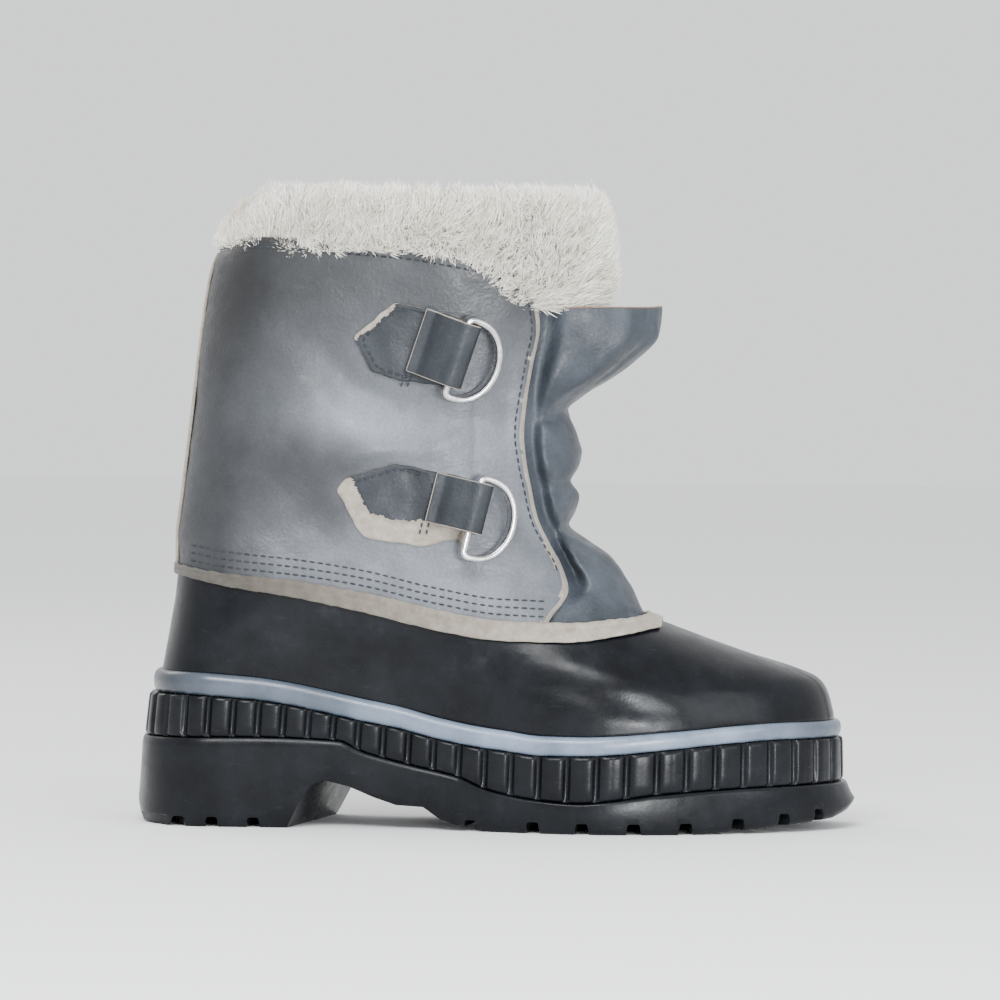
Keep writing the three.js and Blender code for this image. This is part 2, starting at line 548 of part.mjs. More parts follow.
function tongueSolid() {
  const across = TONGUE_STEPS + 1;
  const points = [];
  const skins = [0, TONGUE_THICK];
  skins.forEach((inset) => TONGUE.forEach((row) => points.push(...tongueCurve(row, inset))));
  const rows = TONGUE.length;
  const at = (s, k, i) => s * rows * across + k * across + i;
  const triangles = [];
  const quad = (a, b, c, d) => triangles.push([a, b, c], [a, c, d]);
  for (let k = 0; k < rows - 1; k += 1) {
    for (let i = 0; i < across - 1; i += 1) {
      quad(at(0, k, i), at(0, k, i + 1), at(0, k + 1, i + 1), at(0, k + 1, i));
      quad(at(1, k, i), at(1, k + 1, i), at(1, k + 1, i + 1), at(1, k, i + 1));
    }
    quad(at(0, k, 0), at(0, k + 1, 0), at(1, k + 1, 0), at(1, k, 0));
    quad(at(0, k, across - 1), at(1, k, across - 1), at(1, k + 1, across - 1), at(0, k + 1, across - 1));
  }
  for (let i = 0; i < across - 1; i += 1) {
    quad(at(0, 0, i), at(1, 0, i), at(1, 0, i + 1), at(0, 0, i + 1));
    quad(at(0, rows - 1, i), at(0, rows - 1, i + 1), at(1, rows - 1, i + 1), at(1, rows - 1, i));
  }
  return solidOf(meshOf(points, triangles));
}
// Kept clear of the rubber, leather and strip it lies behind.
const shaftHold = lastWall(GAP + TRIM_THICK + GAP, -SHAFT_WALL - GAP, 77, 240).intersect(sideCutter(shaftRegion, -90, 90));
const shellHold = lastWall(GAP + TRIM_THICK + GAP, -SHELL_WALL - GAP, 34, 104).intersect(
  sideCutter(shellFoot.concat([[300, 110], [THROAT_X + 2, 110]]).concat(trimLine(1, GAP).reverse()), -90, 90),
);
const tongue = tongueSolid().subtract(shaftHold).subtract(shellHold);

// ---- Pile cuff: deep ring that fills and folds over the collar -----------
const CUFF = [
  { z: 200, back: 24.5, front: 171.5, half: 40, deep: 8, middle: 98 },
  { z: 206, back: 25.5, front: 175.5, half: 41, deep: 12, middle: 99 },
  { z: 213, back: 27.5, front: 184.5, half: 44, deep: 14, middle: 100 },
  { z: 221, back: 29.5, front: 187.0, half: 47, deep: 15, middle: 102 },
  { z: 230, back: 32.5, front: 187.0, half: 50, deep: 16, middle: 104 },
  { z: 238, back: 37.0, front: 186.6, half: 51.5, deep: 16.5, middle: 107 },
  { z: 245, back: 43.5, front: 185.4, half: 50.5, deep: 16, middle: 110 },
  { z: 250, back: 51.0, front: 182.0, half: 47.5, deep: 13.5, middle: 113 },
  { z: 253.5, back: 60.0, front: 174.5, half: 42.5, deep: 8.5, middle: 116 },
];
const CUFF_STEPS = 24;
const CUFF_ROUND = 2.25;
function cuffRing(row, inset) {
  const pts = [];
  for (let i = 0; i < CUFF_STEPS; i += 1) {
    const a = (i / CUFF_STEPS) * Math.PI * 2;
    const c = Math.cos(a);
    const s = Math.sin(a);
    const reach = c < 0 ? row.middle - row.back - inset : row.front - inset - row.middle;
    const x = row.middle + reach * Math.sign(c) * Math.abs(c) ** (2 / CUFF_ROUND);
    pts.push(new THREE.Vector3(x, (row.half - inset) * Math.sign(s) * Math.abs(s) ** (2 / CUFF_ROUND), row.z));
  }
  return pts;
}
function cuffSolid() {
  const loop = CUFF.map((row) => cuffRing(row, 0)).concat([...CUFF].reverse().map((row) => cuffRing(row, row.deep)));
  const points = loop.flat();
  const rows = loop.length;
  const triangles = [];
  for (let k = 0; k < rows; k += 1) {
    const up = ((k + 1) % rows) * CUFF_STEPS;
    const here = k * CUFF_STEPS;
    for (let i = 0; i < CUFF_STEPS; i += 1) {
      const j = (i + 1) % CUFF_STEPS;
      triangles.push([here + i, here + j, up + j], [here + i, up + j, up + i]);
    }
  }
  return solidOf(meshOf(points, triangles));
}
// Room the tongue's lip needs: in front of it the pile stays above the lip.
const LIP_TOP = TONGUE[TONGUE.length - 1].z + 1.2;
const LIP_REAR = 147;
function lipHold() {
  const rows = TONGUE.filter((row) => row.z > 185);
  const rings = rows.map((row, k) => {
    const z = k === rows.length - 1 ? LIP_TOP + 2 : row.z;
    const curve = tongueCurve(row, TONGUE_THICK + GAP).map((p) => new THREE.Vector3(p.x, p.y, z));
    const first = curve[0];
    const last = curve[curve.length - 1];
    return [...curve, new THREE.Vector3(LIP_REAR - 30, last.y, z), new THREE.Vector3(LIP_REAR - 30, first.y, z)];
  });
  const n = rings[0].length;
  const triangles = [];
  for (let k = 0; k < rings.length - 1; k += 1) {
    for (let i = 0; i < n; i += 1) {
      const j = (i + 1) % n;
      triangles.push([k * n + i, k * n + j, (k + 1) * n + j], [k * n + i, (k + 1) * n + j, (k + 1) * n + i]);
    }
  }
  const top = (rings.length - 1) * n;
  for (let i = 1; i < n - 1; i += 1) {
    triangles.push([0, i + 1, i], [top, top + i, top + i + 1]);
  }
  const core = solidOf(meshOf(rings.flat(), triangles));
  const block = sideCutter([[LIP_REAR, 190], [240, 190], [240, LIP_TOP], [LIP_REAR, LIP_TOP]], -80, 80);
  return block.subtract(core);
}
const cuff = cuffSolid().subtract(shaftHold).subtract(lipHold());

// ---- Ring patches and D-rings --------------------------------------------
// Side-view corners of a patch, its front fold and how its ring hangs.
const PATCHES = {
  upper: {
    corners: [[88.5, 196], [105, 209.8], [132.5, 204], [124.5, 177], [107.6, 178.6], [96, 182]],
    foldLow: [124.6, 178.2], foldHigh: [132.6, 202.4], lift: -10, sag: 1.2,
  },
  lower: {
    corners: [[82.5, 134.5], [85.5, 139.4], [105.5, 146], [137.4, 139.6], [132.4, 116.5], [116, 113], [93, 116.2]],
    foldLow: [132.4, 119.4], foldHigh: [136.9, 138.4], lift: -3, sag: 3.8,
  },
};
const LOOP_RISE = LOOP_OUTER + GAP + 0.5; // fold's centre above the leather
const FOLD_BACK = 15; // where the fold's top layer meets the patch again

// Fold axes on the outer side: outward, forward and along, with the middle.
function foldFrame(patch) {
  const low = surfaceAt(...patch.foldLow, -1);
  const high = surfaceAt(...patch.foldHigh, -1);
  const along = new THREE.Vector3().subVectors(high, low).normalize();
  const x = (patch.foldLow[0] + patch.foldHigh[0]) / 2;
  const z = (patch.foldLow[1] + patch.foldHigh[1]) / 2;
  const across = surfaceAt(x + 3, z, -1).sub(surfaceAt(x - 3, z, -1)).normalize();
  const outward = new THREE.Vector3().crossVectors(along, across).multiplyScalar(-1).normalize();
  if (outward.y > 0) outward.negate();
  const forward = new THREE.Vector3().crossVectors(along, outward).normalize();
  const middle = surfaceAt(x, z, -1).addScaledVector(outward, LOOP_RISE);
  return { along, outward, forward, middle, long: low.distanceTo(high) };
}

// Extrudes an (outward, forward) outline along the fold, centred on it.
function alongFold(shape, frame, long) {
  const g = new THREE.ExtrudeGeometry(shape, { depth: long, bevelEnabled: false, steps: 1, curveSegments: 6 });
  g.translate(0, 0, -long / 2);
  g.applyMatrix4(new THREE.Matrix4().makeBasis(frame.outward, frame.forward, frame.along).setPosition(frame.middle));
  return solidOf(g);
}

function discShape(radius) {
  const shape = new THREE.Shape();
  shape.absarc(0, 0, radius, 0, Math.PI * 2, false);
  return shape;
}

function patchSolid(patch) {
  const frame = foldFrame(patch);
  const heights = patch.corners.map((corner) => corner[1]);
  const plate = lastWall(GAP + PATCH_THICK, GAP, Math.min(...heights), Math.max(...heights))
    .intersect(sideCutter(patch.corners, -90, 0));
  const wedge = new THREE.Shape([
    new THREE.Vector2(LOOP_OUTER * 0.98, -1),
    new THREE.Vector2(-LOOP_RISE + 1.6, -FOLD_BACK),
    new THREE.Vector2(-LOOP_RISE - 0.3, -FOLD_BACK),
    new THREE.Vector2(-LOOP_RISE + 1.2, -1),
  ]);
  return plate
    .add(alongFold(discShape(LOOP_OUTER), frame, frame.long))
    .add(alongFold(wedge, frame, frame.long))
    .subtract(alongFold(discShape(LOOP_BORE), frame, frame.long + 20));
}

// D outline, its bar on the vertical axis, inset evenly by d.
function dOutline(d) {
  const half = RING_TALL / 2 - d;
  const barX = -RING_THICK / 2 + d;
  const reach = RING_REACH - d - barX;
  const corner = 3.6 - d;
  const pts = [];
  for (let i = 0; i <= 3; i += 1) {
    const a = -Math.PI + (i / 3) * (Math.PI / 2);
    pts.push(new THREE.Vector2(barX + corner + corner * Math.cos(a), -half + corner + corner * Math.sin(a)));
  }
  for (let i = 1; i < 14; i += 1) {
    const a = -Math.PI / 2 + (i / 14) * Math.PI;
    const side = Math.cos(a) ** 0.82;
    pts.push(new THREE.Vector2(barX + corner + (reach - corner) * side, half * Math.sin(a)));
  }
  for (let i = 0; i <= 3; i += 1) {
    const a = Math.PI / 2 + (i / 3) * (Math.PI / 2);
    pts.push(new THREE.Vector2(barX + corner + corner * Math.cos(a), half - corner + corner * Math.sin(a)));
  }
  return pts;
}

function ringSolid(patch) {
  const frame = foldFrame(patch);
  const shape = new THREE.Shape(dOutline(0));
  shape.holes.push(new THREE.Path(dOutline(RING_THICK).reverse()));
  const g = new THREE.ExtrudeGeometry(shape, { depth: RING_STRIP, bevelEnabled: false, steps: 1 });
  g.translate(0, -patch.sag, -RING_STRIP / 2);
  const lift = THREE.MathUtils.degToRad(patch.lift);
  const out = frame.forward.clone().multiplyScalar(Math.cos(lift)).addScaledVector(frame.outward, Math.sin(lift));
  const normal = new THREE.Vector3().crossVectors(out, frame.along);
  g.applyMatrix4(new THREE.Matrix4().makeBasis(out, frame.along, normal).setPosition(frame.middle));
  return solidOf(g);
}

// The inner side's pieces mirror the outer side's across the boot's mid plane.
function mirrored(solid) {
  const g = geometryOf(solid);
  g.scale(1, -1, 1);
  const order = Array.from(g.index.array);
  for (let i = 0; i < order.length; i += 3) [order[i], order[i + 1]] = [order[i + 1], order[i]];
  g.setIndex(order);
  return solidOf(g);
}

// ---- Assembly ------------------------------------------------------------
const RUBBER_BLACK = { color: 0x17191c, roughness: 0.42, metalness: 0 };
const RUBBER_BLUE = { color: 0x6d7a90, roughness: 0.4, metalness: 0 };
const LEATHER_GREY = { color: 0x70757c, roughness: 0.6, metalness: 0 };
const EDGE_BEIGE = { color: 0xb5a795, roughness: 0.85, metalness: 0 };
const PILE_CREAM = { color: 0xdcd6c6, roughness: 0.95, metalness: 0 };
const FELT_GREY = { color: 0xb9b4a8, roughness: 0.95, metalness: 0 };
const NICKEL = { color: 0xb9bbc0, roughness: 0.28, metalness: 1 };

const boot = new THREE.Group();
boot.name = 'snow_boot';
function place(name, solid, look) {
  const g = geometryOf(solid);
  g.translate(-ORIGIN_X, -ORIGIN_Y, 0);
  const mesh = new THREE.Mesh(g, new THREE.MeshStandardMaterial(look));
  mesh.name = name;
  boot.add(mesh);
}
place('outsole', outsole, RUBBER_BLACK);
place('midsole', midsole, RUBBER_BLACK);
place('welt_band', band, RUBBER_BLUE);
place('insole', insole, FELT_GREY);
place('shell', shell, RUBBER_BLACK);
place('shell_trim', trim, EDGE_BEIGE);
place('shaft', shaft, LEATHER_GREY);
place('back_strip', backStrip, EDGE_BEIGE);
place('tongue', tongue, LEATHER_GREY);
place('fur_cuff', cuff, PILE_CREAM);
['upper', 'lower'].forEach((level) => {
  const patch = patchSolid(PATCHES[level]);
  const ring = ringSolid(PATCHES[level]);
  place(`ring_patch_outer_${level}`, patch, LEATHER_GREY);
  place(`ring_patch_inner_${level}`, mirrored(patch), LEATHER_GREY);
  place(`d_ring_outer_${level}`, ring, NICKEL);
  place(`d_ring_inner_${level}`, mirrored(ring), NICKEL);
});

export default boot;
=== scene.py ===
# Snow boot, right foot: the fine surfaces, pile, stitches, materials, light and camera.
import math

import bmesh
import bpy
import numpy as np
from mathutils import Matrix, Vector


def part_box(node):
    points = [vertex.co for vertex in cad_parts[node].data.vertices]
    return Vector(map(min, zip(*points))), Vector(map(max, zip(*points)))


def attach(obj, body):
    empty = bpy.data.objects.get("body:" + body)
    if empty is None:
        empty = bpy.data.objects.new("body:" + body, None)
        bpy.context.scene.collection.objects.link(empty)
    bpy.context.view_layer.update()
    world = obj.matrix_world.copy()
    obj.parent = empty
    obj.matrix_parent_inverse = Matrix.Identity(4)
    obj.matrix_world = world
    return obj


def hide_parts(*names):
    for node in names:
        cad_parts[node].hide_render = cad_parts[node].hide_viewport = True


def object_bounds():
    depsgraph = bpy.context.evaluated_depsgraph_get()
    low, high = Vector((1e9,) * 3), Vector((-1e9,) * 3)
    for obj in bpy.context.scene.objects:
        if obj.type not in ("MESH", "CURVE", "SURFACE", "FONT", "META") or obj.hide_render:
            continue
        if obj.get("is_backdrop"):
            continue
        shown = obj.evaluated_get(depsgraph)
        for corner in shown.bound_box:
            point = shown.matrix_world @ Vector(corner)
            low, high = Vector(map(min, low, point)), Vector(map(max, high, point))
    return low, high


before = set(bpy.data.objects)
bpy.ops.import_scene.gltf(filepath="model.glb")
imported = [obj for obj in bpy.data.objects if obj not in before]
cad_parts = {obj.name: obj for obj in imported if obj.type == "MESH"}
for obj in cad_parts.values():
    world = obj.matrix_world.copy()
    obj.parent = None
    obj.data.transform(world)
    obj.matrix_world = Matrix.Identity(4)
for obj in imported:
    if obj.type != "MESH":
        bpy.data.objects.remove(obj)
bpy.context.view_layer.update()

RNG = np.random.default_rng(11)
MM = 0.001
OUTSOLE_BACK = 0.8  # the tread's rearmost point in the last's own X
SHIFT = np.array([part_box("outsole")[0].x / MM - OUTSOLE_BACK, -0.6, 0.0])

# ---- Sizes shared with the CAD part, in millimetres ------------------------
SHELL_WALL = 3.0
SHAFT_WALL = 3.4
TRIM_OUT = 1.45
TRIM_BAND = 8.0
BACK_STRIP_WIDE = 22.0
RING_STRIP = 8.0
RING_THICK = 2.4
RING_TALL = 34.6
RING_REACH = 18.5
LOOP_BORE = 4.7
LOOP_OUTER = 6.3
LOOP_RISE = 7.15
THROAT_X = 210.0
FRONT_ROUND = 2.1
BACK_ROUND = 2.35

LEVEL_NAMES = ("z", "back", "front", "heel_x", "heel", "waist_x", "waist", "ball_x", "ball", "bend")
LEVELS = np.array([
    (30, 5.5, 281.5, 38, 38.5, 108, 35.5, 192, 50.5, 1),
    (43, 7.3, 281.5, 38, 38.8, 108, 35.8, 192, 50.6, 1),
    (50, 8.2, 280.2, 38, 39.2, 107, 36.4, 191, 50.0, 1),
    (56, 9.0, 278.0, 39, 39.5, 106, 37.0, 189, 48.9, 1),
    (60, 9.6, 274.6, 39, 39.8, 105, 37.3, 186, 47.7, 1),
    (64, 10.4, 266.0, 40, 40.1, 104, 37.6, 182, 46.2, 0.98),
    (70, 11.4, 248.5, 42, 40.6, 102, 38.0, 174, 43.8, 0.93),
    (77, 12.6, 228.0, 45, 41.2, 100, 38.6, 162, 41.5, 0.84),
    (84, 13.7, 208.5, 50, 41.7, 97, 39.4, 148, 40.3, 0.7),
    (92, 14.9, 192.0, 56, 42.1, 94, 40.6, 136, 40.5, 0.5),
    (102, 15.6, 180.5, 62, 42.3, 92, 41.8, 124, 41.2, 0.2),
    (115, 15.6, 173.5, 68, 42.4, 93, 42.2, 116, 41.6, 0),
    (132, 17.4, 170.5, 72, 42.6, 94, 42.4, 112, 42.0, 0),
    (165, 21.1, 171.5, 76, 43.2, 97, 43.1, 114, 42.6, 0),
    (200, 25.0, 174.0, 80, 45.2, 100, 45.3, 118, 44.8, 0),
    (222, 28.5, 176.5, 82, 47.6, 102, 47.8, 120, 47.2, 0),
    (240, 37.0, 178.5, 84, 48.6, 103, 49.0, 121, 48.2, 0),
], float)
CENTRE = np.array([(0, -0.5), (40, 0), (110, -3.2), (185, -1.0), (240, 6.5), (290, 14.0)], float)
BAND_TOP = np.array([
    (0, 61), (20, 61.6), (49, 60), (64, 58), (79, 55), (93, 52), (108, 49), (123, 45), (138, 42), (150, 40.4),
    (165, 38.6), (180, 38.5), (195, 39), (210, 40.2), (226, 41.5), (241, 42.8), (261, 43.8), (290, 43.3),
], float)
FLUTE_LOW = np.array([
    (0, 35), (54, 36), (84, 35), (93, 31), (112, 26), (132, 21.5), (143, 17), (160, 13.7), (180, 12.3),
    (190, 13), (210, 15.7), (230, 17.3), (251, 18.3), (290, 19),
], float)
SHELL_TOP = np.array([
    (0, 101), (16, 100), (40, 96), (67, 92), (94.5, 86.7), (121.5, 80), (148, 76), (175, 75.6), (196, 78),
    (209, 80.5),
], float)
# Plan outlines of the sole, with the columns of LEVELS after its height.
SOLE_TREAD, SOLE_SIDE, SOLE_BAND = (dict(zip(LEVEL_NAMES[1:], row)) for row in (
    (0.6, 290.4, 36, 40.6, 106, 36.5, 192, 53.4, 1),
    (3.6, 285.0, 36, 41.4, 107, 38.0, 192, 53.0, 1),
    (6.6, 284.2, 37, 42.2, 107, 39.0, 192, 53.6, 1),
))


def smooth_read(xs, ys, u):
    """Monotone cubic through the points (xs, ys), held flat past its ends."""
    xs = np.asarray(xs, float)
    ys = np.asarray(ys, float)
    u = np.clip(np.asarray(u, float), xs[0], xs[-1])
    h = np.diff(xs)
    slope = np.diff(ys) / h
    a, b = slope[:-1], slope[1:]
    inner = np.where(a * b > 0, 2 * a * b / (a + b + 1e-12), 0)
    tangent = np.concatenate([[slope[0]], inner, [slope[-1]]])
    k = np.clip(np.searchsorted(xs, u, side="right") - 1, 0, len(xs) - 2)
    t = (u - xs[k]) / h[k]
    return ((2 * t**3 - 3 * t**2 + 1) * ys[k] + (t**3 - 2 * t**2 + t) * h[k] * tangent[k]
            + (3 * t**2 - 2 * t**3) * ys[k + 1] + (t**3 - t**2) * h[k] * tangent[k + 1])


def read(table, u):
    return smooth_read(table[:, 0], table[:, 1], u)


def level(z):
    return {name: smooth_read(LEVELS[:, 0], LEVELS[:, i], z) for i, name in enumerate(LEVEL_NAMES)}


def ease(t):
    t = np.clip(t, 0, 1)
    return t * t * (3 - 2 * t)


def blend(t, a, b):
    return a + ease(t) * (b - a)


def steps_along(path):
    """Distance along a path at each of its points."""
    return np.concatenate([[0], np.cumsum(np.linalg.norm(np.diff(path, axis=0), axis=1))])


def half_width(row, x):
    """Half width of a plan outline at x."""
    x = np.asarray(x, float)
    back = np.clip((row["heel_x"] - x) / (row["heel_x"] - row["back"]), 0, 1)
    front = np.clip((x - row["ball_x"]) / (row["front"] - row["ball_x"]), 0, 1)
    mid_a = blend((x - row["heel_x"]) / (row["waist_x"] - row["heel_x"]), row["heel"], row["waist"])
    mid_b = blend((x - row["waist_x"]) / (row["ball_x"] - row["waist_x"]), row["waist"], row["ball"])
    mid = np.where(x < row["waist_x"], mid_a, mid_b)
    out = np.where(x < row["heel_x"], row["heel"] * (1 - back**BACK_ROUND) ** (1 / BACK_ROUND), mid)
    return np.where(x > row["ball_x"], row["ball"] * (1 - front**FRONT_ROUND) ** (1 / FRONT_ROUND), out)


def half_path(row, n):
    """(x, half width) arrays along one side, heel to toe; s runs 0..1 through four spans."""
    s = np.linspace(0, 1, n)
    spans = np.array([0, 0.24, 0.42, 0.60, 1.0])
    shape = np.broadcast(s, np.asarray(row["back"])[..., None]).shape
    x = np.zeros(shape)
    y = np.zeros(shape)
    r = {k: np.asarray(v, float)[..., None] for k, v in row.items()}
    s = np.broadcast_to(s, shape)
    a = np.clip(s / spans[1], 0, 1) * math.pi / 2
    m = s < spans[1]
    x = np.where(m, r["heel_x"] - (r["heel_x"] - r["back"]) * np.abs(np.cos(a)) ** (2 / BACK_ROUND), x)
    y = np.where(m, r["heel"] * np.abs(np.sin(a)) ** (2 / BACK_ROUND), y)
    m = (s >= spans[1]) & (s < spans[2])
    t = (s - spans[1]) / (spans[2] - spans[1])
    x = np.where(m, r["heel_x"] + t * (r["waist_x"] - r["heel_x"]), x)
    y = np.where(m, blend(t, r["heel"], r["waist"]), y)
    m = (s >= spans[2]) & (s < spans[3])
    t = (s - spans[2]) / (spans[3] - spans[2])
    x = np.where(m, r["waist_x"] + t * (r["ball_x"] - r["waist_x"]), x)
    y = np.where(m, blend(t, r["waist"], r["ball"]), y)
    m = s >= spans[3]
    a = np.clip((s - spans[3]) / (1 - spans[3]), 0, 1) * math.pi / 2
    x = np.where(m, r["ball_x"] + (r["front"] - r["ball_x"]) * np.abs(np.sin(a)) ** (2 / FRONT_ROUND), x)
    y = np.where(m, r["ball"] * np.abs(np.cos(a)) ** (2 / FRONT_ROUND), y)
    y = np.where(s >= 1, 0, np.where(s <= 0, 0, y))
    return x, y


def closed_ring(row, n):
    """Whole outline: outer side heel to toe, then the inner side back. Last axis is x, y."""
    x, y = half_path(row, n)
    bend = np.asarray(row["bend"], float)[..., None] * read(CENTRE, x)
    outer = np.stack([x, bend - y], -1)
    inner = np.stack([x, bend + y], -1)[..., 1:-1, :][..., ::-1, :]
    return np.concatenate([outer, inner], -2)


def surface(x, z, side, out=0.0):
    """Point on the last at a side-view point, moved out along the surface's own normal."""
    x = np.asarray(x, float)
    z = np.asarray(z, float)
    x, z = np.broadcast_arrays(x, z)

    def raw(xx, zz):
        row = level(zz)
        return row["bend"] * read(CENTRE, xx) + side * half_width(row, xx)

    e = 0.35
    y = raw(x, z)
    dx = (raw(x + e, z) - raw(x - e, z)) / (2 * e)
    dz = (raw(x, z + e) - raw(x, z - e)) / (2 * e)
    n = np.stack([-dx, np.ones_like(dx), -dz], -1) * side
    n /= np.linalg.norm(n, axis=-1, keepdims=True)
    p = np.stack([x, y, z], -1)
    return p + n * np.asarray(out)[..., None], n


def band_top(x):
    return read(BAND_TOP, x)


def band_low(x):
    return band_top(x) - (9.0 - 2.2 * np.clip((np.asarray(x) - 90) / 140, 0, 1))


def shell_top(x):
    return read(SHELL_TOP, x)


def trim_tall(x):
    t = np.clip((np.asarray(x) - 10) / 230, 0, 1)
    return TRIM_BAND * (0.45 + 0.55 * np.sin(math.pi * t) ** 1.3)


# ---- Mesh making -----------------------------------------------------------
def add_mesh(name, points, faces, mats, face_mats=None, body="boot", node=None, angle=None):
    """One visible piece from points in the last's millimetres."""
    mesh = bpy.data.meshes.new(name)
    pts = (np.asarray(points, float) + SHIFT) * MM
    mesh.from_pydata(pts.tolist(), [], [list(map(int, f)) for f in faces])
    mesh.update()
    obj = bpy.data.objects.new(name, mesh)
    bpy.context.scene.collection.objects.link(obj)
    for m in mats:
        mesh.materials.append(m)
    if face_mats is not None:
        mesh.polygons.foreach_set("material_index", np.asarray(face_mats, np.int32))
    mesh.polygons.foreach_set("use_smooth", np.full(len(mesh.polygons), True))
    if angle is not None:
        mesh.set_sharp_from_angle(angle=math.radians(angle))
    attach(obj, body)
    if node:
        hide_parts(node)
    return obj


def grid_faces(rows, cols, closed, base=0):
    k = np.arange(rows - 1)[:, None] * cols
    i = np.arange(cols if closed else cols - 1)[None, :]
    j = (i + 1) % cols
    return np.stack([base + k + i, base + k + j, base + k + cols + j, base + k + cols + i], -1).reshape(-1, 4)


def grid_normals(p, closed):
    du = (np.roll(p, -1, 1) - np.roll(p, 1, 1)) if closed else np.gradient(p, axis=1)
    dv = np.gradient(p, axis=0)
    n = np.cross(du, dv)
    return n / (np.linalg.norm(n, axis=-1, keepdims=True) + 1e-12)


def oriented(p, n, closed=True):
    """Grid whose own winding agrees with the outward normals."""
    if np.mean(np.einsum("ijk,ijk->ij", grid_normals(p, closed), n)) < 0:
        return p[:, ::-1], n[:, ::-1]
    return p, n


def thick_sheet(p, wall, closed, rim=5, normals=None, bulge=0.35):
    """Points, faces and face kinds (0 outside, 1 rim, 2 inside) of a sheet with rounded rims."""
    n = grid_normals(p, closed) if normals is None else normals
    rows, cols = p.shape[:2]
    wall = np.broadcast_to(np.asarray(wall, float), (rows, cols))[..., None]
    inner = p - n * wall
    pts = [p.reshape(-1, 3), inner.reshape(-1, 3)]
    size = rows * cols
    f_out = grid_faces(rows, cols, closed)
    f_in = grid_faces(rows, cols, closed, size)[:, ::-1]
    faces = [f_out, f_in]
    kinds = [np.zeros(len(f_out), int), np.full(len(f_in), 2)]
    idx = np.arange(size).reshape(rows, cols)
    if closed:
        loops = [(idx[0], False), (idx[-1], True)]
    else:
        loops = [(np.concatenate([idx[0, :], idx[1:, -1], idx[-1, -2::-1], idx[-2:0:-1, 0]]), False)]
    flat_p = p.reshape(-1, 3)
    flat_n = n.reshape(-1, 3)
    flat_w = wall.reshape(-1, 1)
    base = 2 * size
    for loop, turned in loops:
        lp = flat_p[loop]
        ln = flat_n[loop]
        lw = flat_w[loop]
        tangent = np.roll(lp, -1, 0) - np.roll(lp, 1, 0)
        if turned:
            tangent = -tangent
        out = np.cross(tangent, ln)
        out /= np.linalg.norm(out, axis=1, keepdims=True) + 1e-12
        count = len(loop)
        bands = [loop]
        for s in range(1, rim):
            a = math.pi * s / rim
            ring_pts = lp - ln * lw * 0.5 * (1 - math.cos(a)) + out * lw * bulge * math.sin(a)
            pts.append(ring_pts)
            bands.append(np.arange(count) + base)
            base += count
        bands.append(loop + size)
        for a, b in zip(bands[:-1], bands[1:]):
            a2, b2 = np.roll(a, -1), np.roll(b, -1)
            quad = np.stack([a, b, b2, a2], -1)
            if turned:
                quad = quad[:, ::-1]
            faces.append(quad)
            kinds.append(np.full(len(quad), 1))
    return np.concatenate(pts), np.concatenate(faces), np.concatenate(kinds)


def ridge(x, z, path, wide, high):
    """Height of a soft crease along a side-view path, faded at its two ends."""
    path = np.asarray(path, float)
    best = np.full(np.shape(x), 1e9)
    along = np.zeros(np.shape(x))
    lengths = steps_along(path)
    for k in range(len(path) - 1):
        a, b = path[k], path[k + 1]
        d = b - a
        t = np.clip(((x - a[0]) * d[0] + (z - a[1]) * d[1]) / (d @ d), 0, 1)
        dist = np.hypot(x - a[0] - t * d[0], z - a[1] - t * d[1])
        near = dist < best
        best = np.where(near, dist, best)
        along = np.where(near, lengths[k] + t * math.sqrt(d @ d), along)
    s = along / lengths[-1]
    fade = np.clip(np.sin(math.pi * np.clip(s, 0.02, 0.98)), 0, 1) ** 0.6
    return high * np.exp(-(best / wide) ** 2) * fade


def creases(x, z, rows):
    """Sum of the ridges in a table of side-view path, width and height."""
    return sum(ridge(x, z, path, wide, high) for path, wide, high in rows)


def wavy(x, z, scale, seed):
    """Smooth irregular field in about -1..1."""
    r = np.random.default_rng(seed)
    out = 0
    for _ in range(7):
        a = r.uniform(0, 2 * math.pi)
        f = r.uniform(0.6, 1.6) / scale
        out = out + np.sin(2 * math.pi * f * (x * math.cos(a) + z * math.sin(a)) + r.uniform(0, 6.3))
    return out / 3.6


